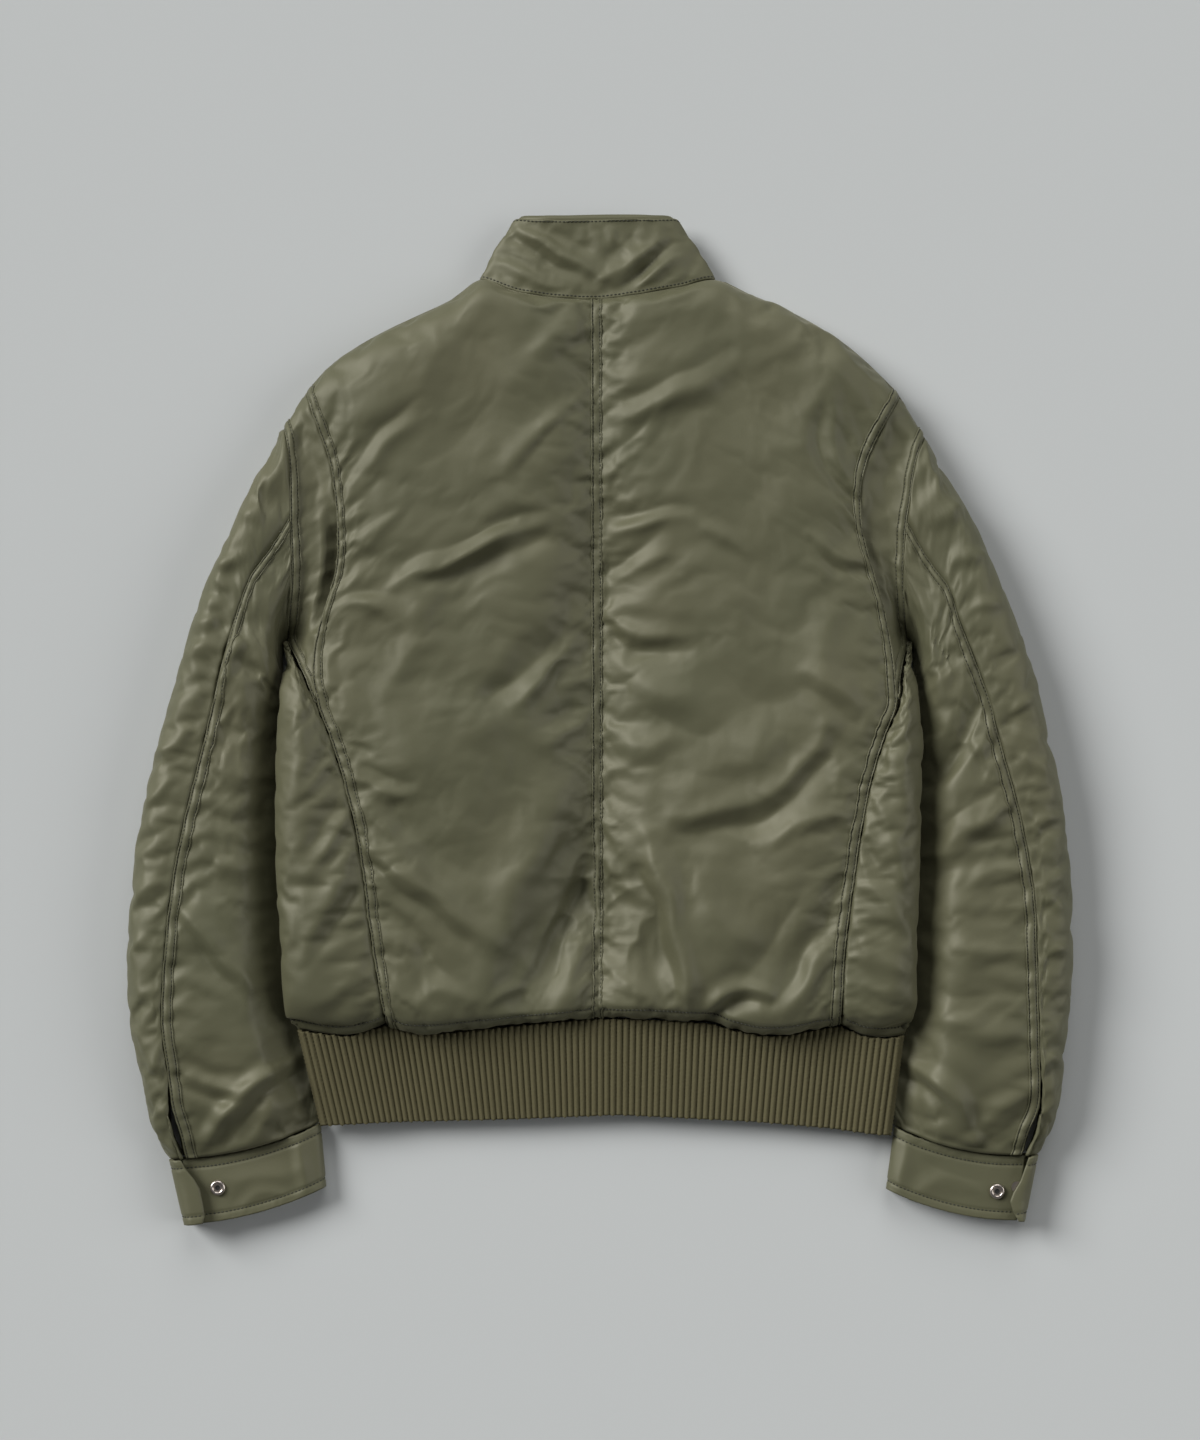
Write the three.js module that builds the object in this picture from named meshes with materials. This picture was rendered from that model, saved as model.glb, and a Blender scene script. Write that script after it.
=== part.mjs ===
// A padded nylon bomber jacket laid flat on its front, seen from the back.
// Millimetres, +Z up. The collar points to +Y, the wearer's left is on -X, and the cloth
// rests on z = 0. Every piece is a wall of cloth with a hollow inside the garment.
import * as THREE from 'three';

// Cloth thicknesses and the gap left at each seam
const WALL = { shell: 3, sleeve: 3, collar: 3.6, binding: 5, rib: 3, cuff: 3.4 };
const SEAM_INSET = 0.22;
const GUSSET_INSET = 0.42; // the gusset's seams are the most sharply folded

// Depths of the laid garment
const BACK_CREST = 39; // top of the back beside the centre seam
const CENTRE_DIP = 3.5; // how far the centre seam pulls the padding down
const PUFF = 6; // padding between two seams of the back
const HEM_SEAM_Z = 21;
const NECK_SEAM_Z = 29;
const FOLD_Z = 18; // height of the shoulder fold's outermost line
const HEM_ROLL = 17;
const SHOULDER_ROLL = 24;
const NECK_ROLL = 14;
const FRONT_ROLL = 18;

// Front closure, under the jacket
const ZIP_HALF_GAP = 7; // the fronts stop this far from the centre
const CHAIN = { half: 3, low: 1.8, high: 4.6, from: -323, to: 338 };
const TAPE = { inner: 3.3, outer: 15, low: 3.9, high: 5.1, from: -323, to: 362 };
const SLIDER = { width: 6, from: 338.5, to: 353, low: 0.3, high: 4.6, pullFrom: 314, pullHigh: 1.5 };

const table = (columns, rows) =>
  rows.map((row) => Object.fromEntries(columns.map((name, i) => [name, row[i]])));
const vec = (x, y, z = 0) => new THREE.Vector3(x, y, z);
const mix = (a, b, t) => a + (b - a) * t;
const clamp01 = (t) => Math.min(1, Math.max(0, t));
const ease = (t) => clamp01(t) ** 2 * (3 - 2 * clamp01(t));
const sum = (list) => list.reduce((a, b) => a + b, 0);

// A quarter-round: 0 at the seam or fold, 1 once the cloth has rolled over by its radius.
const roll = (distance, radius) => Math.sqrt(1 - (1 - clamp01(distance / radius)) ** 2);

// Side is -1 for the wearer's left and 1 for the right. Tables hold each side's own sizes,
// with x counted outward from the centre.
const SIDES = { left: -1, right: 1 };

// The back's outer seam, from the hem up the side back and round the armhole to the shoulder.
// crest is the height of the padding beside the seam.
const SEAM = ['x', 'y', 'crest'];
const sideBackSeam = {
  left: table(SEAM, [[175, -250, 46], [187, -174, 49], [196.5, -103, 50], [212, -38, 50], [230, 13, 47]]),
  right: table(SEAM, [[197, -251, 46], [199, -200, 49], [207, -131, 50], [221, -50, 50], [242, 15, 47]]),
};
const armSeam = {
  left: table(SEAM, [
    [230, 13, 47], [235, 35, 45], [233, 60, 43], [225, 92, 43], [216, 121, 43], [214.5, 152, 43],
    [216.5, 180, 42], [221, 211, 41], [233, 244, 40], [242, 269, 40],
  ]),
  right: table(SEAM, [
    [242, 15, 47], [240.5, 43, 45], [237, 67, 43], [231.5, 94, 43], [218, 139, 43], [213.5, 161, 43],
    [213, 186, 42], [218, 211, 41], [231, 238, 40], [247, 266, 40],
  ]),
};

// Where the shoulder gusset meets the side panel, from the back's seam out to the underarm
const gussetFoot = {
  left: table(SEAM, [[230, 13, 47], [245, 42, 37], [258.7, 68, 12]]),
  right: table(SEAM, [[242, 15, 47], [248, 45, 37], [254.5, 67, 12]]),
};
// Where the gusset meets the sleeve, from the underarm up to the shoulder
const sleeveHead = {
  left: table(SEAM, [
    [258.7, 68, 12], [256.5, 82, 27], [252.5, 118, 38], [253.4, 157, 39], [253.8, 194, 39],
    [255.4, 223, 38], [260.4, 239.4, 38],
  ]),
  right: table(SEAM, [
    [254.5, 67, 12], [251, 85, 27], [248.5, 123, 38], [249.7, 151, 39], [253.8, 180, 39],
    [258.3, 211, 38], [266.9, 232.9, 38],
  ]),
};

// Top outline: neck seam, then the shoulder fold out to the armhole seam
const OUTLINE = ['x', 'y', 'z'];
const neckBack = {
  left: table(OUTLINE, [
    [3, 345, NECK_SEAM_Z], [29, 346, 29], [60, 349.5, 28], [87, 357.8, 24], [99, 362, FOLD_Z - 1],
  ]),
  right: table(OUTLINE, [
    [-3, 345, NECK_SEAM_Z], [18, 347, 29], [42, 351.5, 28], [81, 358.5, 24], [95, 362, FOLD_Z - 1],
  ]),
};
const shoulderFold = {
  left: table(OUTLINE, [
    [99, 362, 17], [119, 348, 18], [153, 331.6, 18], [188, 314.6, 18], [215, 297, 18],
    [231, 283.5, 18], [242, 269, 18],
  ]),
  right: table(OUTLINE, [
    [95, 362, 17], [127.5, 348.8, 18], [162, 333.7, 18], [196.6, 313.2, 18], [221, 293.5, 18],
    [239, 274, 18], [247, 266, 18],
  ]),
};
const frontNeck = {
  left: table(OUTLINE, [[ZIP_HALF_GAP, 288, 0], [42, 299, 0], [78, 328, 3], [99, 362, 17]]),
  right: table(OUTLINE, [[ZIP_HALF_GAP, 288, 0], [42, 299, 0], [76, 328, 3], [95, 362, 17]]),
};

// Where the shell is sewn to the waist rib, and the rib's own lower edge, both across the back
const EDGE = ['x', 'y'];
const hemEdge = table(EDGE, [
  [-251, -253.5], [-225, -258], [-203, -260], [-188, -254], [-175, -250], [-157, -257], [-134, -258],
  [-106, -255], [-60, -250], [-2, -245], [44, -246], [95, -249], [116, -257], [136, -260],
  [155, -259], [165, -254], [182, -255], [205, -259], [235, -261], [253, -258],
]);
const ribEdge = table(EDGE, [
  [-229, -333.5], [-179, -331], [-70, -328.4], [16, -325], [126, -330.5], [190, -336], [225, -340.5],
  [239.5, -341.5],
]);

// Side of the body below the underarm. edge is its outermost line, top and under the heights
// of the side fold, foot where the underside has come down to the surface. It rides over the
// sleeve, which is tucked below it.
const SIDE = ['y', 'edge', 'top', 'under', 'foot'];
const bodySide = {
  left: table(SIDE, [
    [-249, 250, 27, 15.5, 196], [-240, 257, 42, 17, 193], [-226, 259.5, 52, 18, 190],
    [-180, 262, 57, 19, 187], [-110, 265.5, 58, 19, 186], [-40, 266, 58, 19, 190],
    [-8, 264.5, 56, 19, 202], [20, 262, 52, 18.5, 222],
    [45, 257.5, 40, 15, 243], [68, 258.5, 15, 9.5, 257.2],
  ]),
  right: table(SIDE, [
    [-250, 251.5, 27, 15.5, 198], [-241, 256, 42, 17, 195], [-228, 258.5, 52, 18, 192],
    [-188, 259.5, 57, 19, 187], [-110, 262, 58, 19, 186], [-40, 263.5, 58, 19, 190],
    [-8, 262.5, 56, 19, 202], [20, 259.5, 52, 18.5, 222],
    [45, 255, 40, 15, 241], [67, 254.3, 14, 5, 252.5],
  ]),
};

// Sleeve sections from the armhole to the cuff seam: outer and inner end, back seam and the
// place where the body's edge crosses as shares of the way in, crown height, tucked height.
const SLEEVE = ['outerX', 'outerY', 'innerX', 'innerY', 'seam', 'tuck', 'crown', 'low'];
const sleeveSections = {
  left: table(SLEEVE, [
    [277, 211, 265.5, 52, 0.47, 0.985, 42, 12], [294, 178, 265, 38, 0.4, 0.97, 44, 12],
    [317, 128, 250, 8, 0.32, 0.84, 46, 12], [337, 72, 232, -14, 0.275, 0.74, 47, 14],
    [353, 16, 224, -30, 0.27, 0.7, 47, 14], [364.5, -22, 220, -60, 0.26, 0.68, 46, 14],
    [374.5, -68, 218, -98, 0.235, 0.68, 46, 14], [382.5, -116, 218, -136, 0.215, 0.7, 45, 14],
    [387, -165, 219, -174, 0.2, 0.72, 45, 13.5], [388, -212, 221, -208, 0.185, 0.74, 45, 13],
    [385, -254, 222, -240, 0.165, 0.77, 44, 11], [376, -294, 224, -272, 0.15, 0.82, 42, 10],
    [368.5, -332, 227, -303, 0.13, 0.87, 36, 10], [355, -361, 230.5, -332, 0.1, 0.93, 25, 10],
  ]),
  right: table(SLEEVE, [
    [282, 207, 262.5, 51, 0.52, 0.985, 42, 12], [300, 176, 262, 37, 0.46, 0.97, 44, 12],
    [321, 132, 248, 7, 0.39, 0.83, 46, 12], [340, 86, 231, -10, 0.33, 0.74, 47, 14],
    [357, 36, 223, -32, 0.295, 0.71, 47, 14], [368, -8, 219, -60, 0.27, 0.7, 46, 14],
    [377, -50, 217, -92, 0.24, 0.7, 46, 14], [383, -95, 217, -128, 0.21, 0.71, 45, 14],
    [387, -142, 218, -163, 0.19, 0.73, 45, 13.5], [388, -185, 219, -196, 0.185, 0.745, 45, 13],
    [386, -230, 221, -228, 0.17, 0.765, 44, 11.5], [382, -272, 225, -260, 0.145, 0.8, 42, 10],
    [376.5, -318, 232, -296, 0.11, 0.86, 36, 10], [361, -357, 243, -335, 0.1, 0.92, 25, 10],
  ]),
};
const SLEEVE_ROLL = 22; // how far in the outer fold rounds over
const VENT = { rows: 2, open: 2.2 }; // the slit left open above the cuff

// Cuffs: outer fold and inner fold of the band at its seam and at its lower edge. start and
// tab are the places of its two ends on the back, as shares of the way in.
const CUFF = ['outerX', 'outerY', 'innerX', 'innerY', 'start', 'tab', 'bow'];
const cuffEdges = {
  left: table(CUFF, [[355, -361, 230.5, -332, 0.09, 0.13, 7], [342.5, -414.6, 226, -384.2, 0.06, 0.18, 6]]),
  right: table(CUFF, [[361, -357, 243, -335, 0.09, 0.13, 8], [350, -411, 236, -386, 0.06, 0.12, 7]]),
};
const CUFF_HEIGHT = 20;
// Press studs: a socket on each cuff, its mate under the tab
const SNAP = { rim: 6.35, lip: 4.6, hole: 2, height: 2.4, dish: 1.1, gap: 0.35, sides: 20 };
const MATE = { radius: 4.8, height: 1.9, sides: 16 };
const snapPlace = { left: { x: -314.3, y: -384.6, z: 21.4 }, right: { x: 326.6, y: -387.5, z: 21.3 } };
const matePlace = { left: { x: -335, y: -390 }, right: { x: 343, y: -384 } };
const MATE_TOP = 23.9;

// Collar stand, flattened: its top edge across the back and down to the zip
const collarTop = table(OUTLINE, [
  [-ZIP_HALF_GAP, 372, 0], [-38, 380, 0], [-62, 404, 7], [-66.5, 413.5, 14], [-56, 414.5, 22],
  [-28, 414.7, 25], [10, 415.5, 25], [40, 415, 25], [54, 414.7, 21], [62, 412, 14], [58, 404, 7],
  [36, 380, 0], [ZIP_HALF_GAP, 372, 0],
]);
const BINDING_SHARE = { collar: 0.9, bound: 0.912 }; // end of the stand, start of its bound edge
const COLLAR_BULGE = 4;

// Largest creases of the back: ends of each, half width and height (troughs below zero)
const FOLD = ['x0', 'y0', 'x1', 'y1', 'wide', 'high'];
const backFolds = {
  left: table(FOLD, [
    [-46, 162, -168, 112, 9, -5], [-46, 172, -150, 128, 11, 4], [-14, 252, -64, 202, 13, 4],
    [-33, 73, -82, 24, 14, -5], [-10, 60, -60, 74, 14, 4], [-8, -95, -70, -236, 16, -8],
    [-186, -102, -80, -186, 12, 5], [-180, -152, -136, -217, 12, -4], [-208, 96, -160, 100, 10, 4],
    [-120, 20, -170, -60, 22, 4],
  ]),
  right: table(FOLD, [
    [60, -74, 182, -10, 14, 6], [62, -96, 170, -40, 14, -5], [34, -93, 70, -234, 14, 7],
    [28, -146, 62, -238, 12, -6], [82, -240, 136, -224, 9, -6], [142, -228, 196, -136, 14, -5],
    [3, 76, 66, 56, 12, -5], [98, 292, 4, 262, 14, 4], [174, 36, 209, 14, 10, 4], [140, -96, 206, -72, 10, 4],
  ]),
};
const sleeveFolds = {
  left: table(FOLD, [
    [-308, 32, -272, 40, 12, 4], [-350, -150, -288, -214, 12, 4], [-352, -283, -288, -298, 11, -4],
    [-322, -348, -266, -296, 10, 6], [-330, 90, -300, 110, 9, -4], [-372, -60, -345, -40, 9, -4],
  ]),
  right: table(FOLD, [
    [264, -64, 310, 6, 12, -5], [276, -92, 330, -48, 12, 4], [262, -110, 318, -108, 12, -4],
    [268, -296, 310, -344, 11, 6], [276, -306, 322, -338, 10, -4], [372, -85, 352, -92, 9, -4],
  ]),
};

// Lifts or sinks the cloth along the creases that pass near a point.
function creased(x, y, folds) {
  return sum(folds.map((f) => {
    const [ax, ay] = [f.x1 - f.x0, f.y1 - f.y0];
    const length = Math.hypot(ax, ay);
    const along = ((x - f.x0) * ax + (y - f.y0) * ay) / length;
    const aside = ((x - f.x0) * ay - (y - f.y0) * ax) / length;
    const ends = ease(along / 30 + 0.5) * ease((length - along) / 30 + 0.5);
    return f.high * ends * Math.exp(-((aside / f.wide) ** 2));
  }));
}

const curveThrough = (points) => new THREE.CatmullRomCurve3(points, false, 'centripetal');
const placed = (rows, side, height = 'z') => rows.map((r) => vec(r.x * side, r.y, r[height] ?? 0));

// Reads one column of a table at a value of another, straight between its rows.
function lookup(rows, key, value, column) {
  const i = rows.findIndex((r, n) => n > 0 && (value <= r[key] || n === rows.length - 1));
  const [a, b] = [rows[i - 1], rows[i]];
  return mix(a[column], b[column], clamp01((value - a[key]) / (b[key] - a[key])));
}

// A polyline read by distance along it.
function measured(points) {
  const starts = [0];
  for (let i = 1; i < points.length; i += 1) {
    starts.push(starts[i - 1] + points[i].distanceTo(points[i - 1]));
  }
  const at = (distance) => {
    const i = Math.max(1, starts.findIndex((s, n) => n > 0 && (s >= distance || n === points.length - 1)));
    const t = clamp01((distance - starts[i - 1]) / (starts[i] - starts[i - 1]));
    return points[i - 1].clone().lerp(points[i], t);
  };
  return { length: starts[points.length - 1], at };
}

// Rows of the back, counted as shares of the way from hem to shoulder
const ROLL_STEPS = [0, 0.134, 0.5, 1];
const SEAM_ROWS = 10; // below the gusset
const ARM_ROWS = 15; // beside the gusset

// Distances of a column's rows: the hem's roll, even steps to the tip of the gusset, even
// steps beside it, and the shoulder's roll. tip is the share of the column at the tip.
function columnRows(length, tip, endRoll) {
  const low = ROLL_STEPS.map((s) => s * HEM_ROLL);
  const high = ROLL_STEPS.map((s) => length - s * endRoll).reverse();
  const tipAt = mix(HEM_ROLL, length - endRoll, tip);
  const below = steps(HEM_ROLL, tipAt, SEAM_ROWS - 3);
  const above = steps(tipAt, length - endRoll, ARM_ROWS - 3);
  return [...low, ...below.slice(1), ...above.slice(1), ...high.slice(1)];
}
function steps(from, to, count) {
  return Array.from({ length: count + 1 }, (_, i) => mix(from, to, i / count));
}

// Steps of the back's top edge, from the centre seam outward
const NECK_COLUMNS = 3;
const SHOULDER_COLUMNS = 6;

const hemPoint = (x, z = HEM_SEAM_Z) => vec(x, lookup(hemEdge, 'x', x, 'y'), z);

// Lengths along a row of points, as shares of the whole.
function shares(points) {
  const total = [0];
  for (let i = 1; i < points.length; i += 1) {
    total.push(total[i - 1] + Math.hypot(points[i].x - points[i - 1].x, points[i].y - points[i - 1].y));
  }
  return total.map((t) => t / total[points.length - 1]);
}

// Fills a panel from its four edges, given as rows of points that meet at the corners.
function filled(bottom, top, start, end) {
  const [ub, ut, va, vb] = [shares(bottom), shares(top), shares(start), shares(end)];
  const [columns, rows] = [bottom.length - 1, start.length - 1];
  return start.map((from, r) => bottom.map((low, c) => {
    if (c === 0) return from.clone();
    if (c === columns) return end[r].clone();
    if (r === 0) return low.clone();
    if (r === rows) return top[c].clone();
    const v = mix(va[r], vb[r], c / columns);
    const u = mix(ub[c], ut[c], v);
    const across = from.clone().lerp(end[r], u);
    const along = low.clone().lerp(top[c], v);
    const corners = bottom[0].clone().lerp(bottom[columns], u)
      .lerp(top[0].clone().lerp(top[columns], u), v);
    return across.add(along).sub(corners);
  }));
}

// Half of the back: rows from hem to shoulder, columns from the centre seam to the outer seam.
function backGrid(name) {
  const side = SIDES[name];
  const below = curveThrough(placed(sideBackSeam[name], side, 'crest'));
  const beside = curveThrough(placed(armSeam[name], side, 'crest'));
  const outer = measured([...below.getSpacedPoints(24), ...beside.getSpacedPoints(36).slice(1)]);
  const centre = measured([hemPoint(-2), vec(-3, 345, NECK_SEAM_Z)]);
  const tip = (below.getLength() - HEM_ROLL) / (outer.length - HEM_ROLL - SHOULDER_ROLL);
  const neck = curveThrough(placed(neckBack[name], side));
  const shoulder = curveThrough(placed(shoulderFold[name], side));
  const top = [
    ...neck.getSpacedPoints(NECK_COLUMNS), ...shoulder.getSpacedPoints(SHOULDER_COLUMNS).slice(1),
  ];
  top[0].x = -3;
  const widths = shares(top);
  const hem = widths.map((u) => hemPoint(mix(-2, sideBackSeam[name][0].x * side, u)));
  const centreRows = columnRows(centre.length, tip, NECK_ROLL);
  const outerRows = columnRows(outer.length, tip, SHOULDER_ROLL);
  const start = centreRows.map((d) => centre.at(d));
  const end = outerRows.map((d) => outer.at(d));
  [hem[0], hem[hem.length - 1]] = [start[0], end[0]];
  end[end.length - 1] = top[top.length - 1];
  start[start.length - 1] = top[0];
  const grid = filled(hem, top, start, end);
  const topSpan = Math.abs(top[top.length - 1].x - top[0].x);
  return grid.map((row, r) => row.map((point, c) => {
    const u = widths[c];
    const fromHem = mix(centreRows[r], outerRows[r], u);
    const endRoll = mix(NECK_ROLL, SHOULDER_ROLL, clamp01((c - NECK_COLUMNS + 1) / 2));
    const toTop = mix(centre.length - centreRows[r], outer.length - outerRows[r], u);
    const crest = mix(BACK_CREST, end[r].z, u ** 1.5);
    const padding = PUFF * (1 - (2 * u - 1) ** 4) - CENTRE_DIP * Math.exp(-((u * topSpan / 14) ** 2));
    const fold = creased(point.x, point.y, backFolds[name]) * ease(u * 6) * ease((1 - u) * 7);
    const fromSeam = mix(HEM_SEAM_Z, crest + padding + fold, roll(fromHem, HEM_ROLL));
    point.z = mix(top[c].z, fromSeam, roll(toTop, endRoll));
    return point;
  }));
}

// The gusset between the back's armhole seam and the sleeve is a sunken pleat. It starts at a
// narrow tip on the back's seam and widens to the underarm.
const TIP_WIDTH = 2.6;
const GUSSET_COLUMNS = 3;
const GUSSET_SINK = 7;
const UNDERARM_ROW = 3;

function gussetGrid(name, back) {
  const side = SIDES[name];
  const inner = back.slice(SEAM_ROWS).map((row) => row[row.length - 1]);
  const foot = curveThrough(placed(gussetFoot[name], side, 'crest'));
  const head = measured(curveThrough(placed(sleeveHead[name], side, 'crest')).getSpacedPoints(40));
  const rows = inner.length - 1;
  const even = rows - UNDERARM_ROW - (ROLL_STEPS.length - 1);
  const outer = inner.map((tip, r) => {
    if (r === 0) return vec(tip.x + TIP_WIDTH * side, tip.y + TIP_WIDTH, tip.z);
    if (r < UNDERARM_ROW) return foot.getPointAt(r / UNDERARM_ROW);
    const step = r - UNDERARM_ROW;
    const toShoulder = step <= even
      ? mix(head.length, SLEEVE_ROLL, step / even)
      : ROLL_STEPS[rows - r] * SLEEVE_ROLL;
    const point = head.at(head.length - toShoulder);
    point.z = mix(FOLD_Z, point.z, roll(toShoulder, SLEEVE_ROLL));
    return point;
  });
  return inner.map((from, r) => steps(0, 1, GUSSET_COLUMNS).map((t) => {
    const point = from.clone().lerp(outer[r], t);
    const rolled = r > rows - ROLL_STEPS.length ? ROLL_STEPS[rows - r] : 1;
    point.z -= GUSSET_SINK * Math.sin(Math.PI * t) * ease(r / 5) * rolled;
    return point;
  }));
}

// One section of the side of the body, from a point on its back seam round the side fold and
// under to the foot, with the steps taken in each of its spans.
const SIDE_SPANS = [2, 2, 2, 1, 2];
const UNDERARM_GAP = 3.8; // four panels meet here, so the side panel stops just short

function sideSection(start, at, side) {
  const width = Math.abs(at.edge - at.foot);
  const reach = Math.min(15, Math.abs(at.edge - Math.abs(start.x)) * 0.5 + 1);
  const main = [
    start,
    vec((at.edge - reach) * side, start.y, Math.max(at.top, at.under + 2)),
    vec(at.edge * side, start.y, (at.top + at.under) / 2),
    vec((at.edge - Math.min(15, width * 0.3)) * side, start.y, at.under),
    vec((at.foot + Math.min(24, width * 0.45)) * side, start.y, at.under),
    vec(at.foot * side, start.y, 0),
  ];
  const curve = curveThrough(main);
  const section = SIDE_SPANS.flatMap((count, span) =>
    steps(0, 1, count).slice(0, -1).map((t) => curve.getPoint((span + t) / SIDE_SPANS.length)));
  section.push(main[main.length - 1]);
  section.forEach((point) => { point.z = Math.max(0, point.z); });
  return section;
}

function sideGrid(name, back, gusset) {
  const side = SIDES[name];
  const seam = back.map((row) => row[row.length - 1]);
  const starts = [
    ...seam.slice(0, SEAM_ROWS), ...gusset.slice(0, UNDERARM_ROW + 1).map((row) => row[GUSSET_COLUMNS]),
  ];
  return starts.map((start, r) => {
    const at = Object.fromEntries(SIDE.map((key) => [key, lookup(bodySide[name], 'y', start.y, key)]));
    const section = sideSection(start.clone(), at, side);
    if (r === starts.length - 1) section.forEach((p) => { p.y -= UNDERARM_GAP; });
    const fade = 1 - clamp01(r / 4);
    section.slice(1).forEach((p) => { p.y += (hemPoint(p.x).y - seam[0].y) * fade; });
    return section;
  });
}

// The sleeve's seam under the arm, from the underarm up to the shoulder fold.
const ARM_FRONT_ROWS = 6;

function frontArmhole(name, shoulder, underarm) {
  const side = SIDES[name];
  const line = curveThrough([
    underarm, vec(underarm.x + 6 * side, underarm.y + 40), vec(shoulder.x - 8 * side, shoulder.y - 50),
    vec(shoulder.x, shoulder.y),
  ]);
  const length = line.getLength();
  const toFold = [
    ...steps(length, FRONT_ROLL, ARM_FRONT_ROWS - 3),
    ...ROLL_STEPS.slice(0, -1).map((s) => s * FRONT_ROLL).reverse(),
  ];
  return toFold.map((distance, i) => {
    if (i === 0) return underarm;
    if (i === toFold.length - 1) return shoulder;
    const point = line.getPointAt(1 - distance / length);
    point.z = FOLD_Z * (1 - roll(distance, FRONT_ROLL));
    return point;
  });
}

// Front panel under the jacket: flat on the surface, curling up to the shoulder fold.
function frontGrid(name, back, gusset, sideRows) {
  const side = SIDES[name];
  const outline = back[back.length - 1].slice(NECK_COLUMNS);
  const neck = curveThrough(placed(frontNeck[name], side)).getSpacedPoints(NECK_COLUMNS);
  const top = [...neck.slice(0, -1), ...outline, ...gusset[gusset.length - 1].slice(1)];
  const foot = sideRows.map((row) => row[row.length - 1]);
  const end = [...foot, ...frontArmhole(name, top[top.length - 1], foot[foot.length - 1]).slice(1)];
  const rows = end.length - 1;
  const zipLow = hemPoint(0, 0).y;
  const zipLength = top[0].y - zipLow;
  const zipRows = [
    ...steps(0, zipLength - FRONT_ROLL, rows - 3),
    ...ROLL_STEPS.slice(0, -1).map((s) => zipLength - s * FRONT_ROLL).reverse(),
  ];
  const start = zipRows.map((d) => vec(ZIP_HALF_GAP * side, zipLow + d));
  start[rows] = top[0];
  const hem = shares(top).map((u) => vec(mix(start[0].x, end[0].x, u), mix(zipLow, end[0].y, u)));
  [hem[0], hem[hem.length - 1]] = [start[0], end[0]];
  const grid = filled(hem, top, start, end);
  const columns = top.length - 1;
  return grid.map((row, r) => row.map((point, c) => {
    if (c === 0 || c === columns || r === rows) return point;
    point.z = top[c].z * (1 - roll(Math.hypot(point.x - top[c].x, point.y - top[c].y), FRONT_ROLL));
    return point;
  }));
}

// Rings of a sleeve section, outer end to inner end over the top and back underneath. Each
// row gives the place of one point as a share of its stretch: from the outer end to the back
// seam, or from that seam to the inner end.
const TOP_OUTER = 6; // steps from the outer fold to the back seam
const TOP_INNER = 6; // steps from the back seam to the inner fold
const UNDER_STEPS = ARM_FRONT_ROWS;
const UNDER_SEAM = 3; // the sleeve's front seam, counted from the inner fold
const INNER_ROLL = 6;

function sleeveSection(at, bow, side) {
  const outer = vec(at.outerX * side, at.outerY);
  const inner = vec(at.innerX * side, at.innerY);
  const width = outer.distanceTo(inner);
  const place = (share, z) => {
    const point = outer.clone().lerp(inner, share);
    point.y -= bow * 4 * share * (1 - share);
    point.z = z;
    return point;
  };
  const roundOver = Math.min(Math.min(SLEEVE_ROLL, at.crown * 0.55) / width, at.seam * 0.8);
  const middle = at.crown * 0.42;
  const plateau = Math.max(roundOver + 0.08, at.tuck - 26 / width);
  const height = (share) => {
    if (share < roundOver) return mix(middle, at.crown, roll(share, roundOver));
    const tucked = mix(at.crown, at.low, ease((share - plateau) / (at.tuck + 0.02 - plateau)));
    const close = mix(at.low / 2, tucked, roll((1 - share) * width, INNER_ROLL));
    return share > 0.9 ? close : tucked;
  };
  const foldShares = ROLL_STEPS.map((s) => s * roundOver);
  const outerShares = [...foldShares, ...steps(roundOver, at.seam, TOP_OUTER - 3).slice(1)];
  const tuckEnd = Math.min(at.tuck + 0.02, 1 - INNER_ROLL * 2 / width);
  const innerShares = [
    ...steps(at.seam, plateau, TOP_INNER - 4), tuckEnd,
    1 - INNER_ROLL / width, 1 - INNER_ROLL * 0.2 / width, 1,
  ];
  const top = [...outerShares, ...innerShares.slice(1)].map((share) => place(share, height(share)));
  const underShares = [...steps(1, roundOver, UNDER_STEPS - 3), ...foldShares.slice(0, 3).reverse()];
  const under = underShares.slice(1, -1)
    .map((share) => place(share, middle * (1 - roll(share, roundOver))));
  return [...top, ...under];
}

// The armhole's ring, read from the gusset's and the front's own edges.
function armholeRing(name, gusset, front) {
  const head = gusset.slice(UNDERARM_ROW).map((row) => row[GUSSET_COLUMNS]).reverse();
  const armhole = front.slice(front.length - 1 - ARM_FRONT_ROWS).map((row) => row[row.length - 1]);
  return [...head, ...armhole.slice(1, -1)];
}

function sleeveGrid(name, gusset, front) {
  const side = SIDES[name];
  const rows = sleeveSections[name];
  const last = rows.length - 1;
  const rings = rows.map((at, k) => sleeveSection(at, k === last ? cuffEdges[name][0].bow : 0, side));
  rings.forEach((ring) => ring.forEach((p, i) => {
    if (i <= 2 || i >= TOP_OUTER + TOP_INNER - 1) return;
    p.z += creased(p.x, p.y, sleeveFolds[name]);
  }));
  return [armholeRing(name, gusset, front), ...rings];
}

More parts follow.
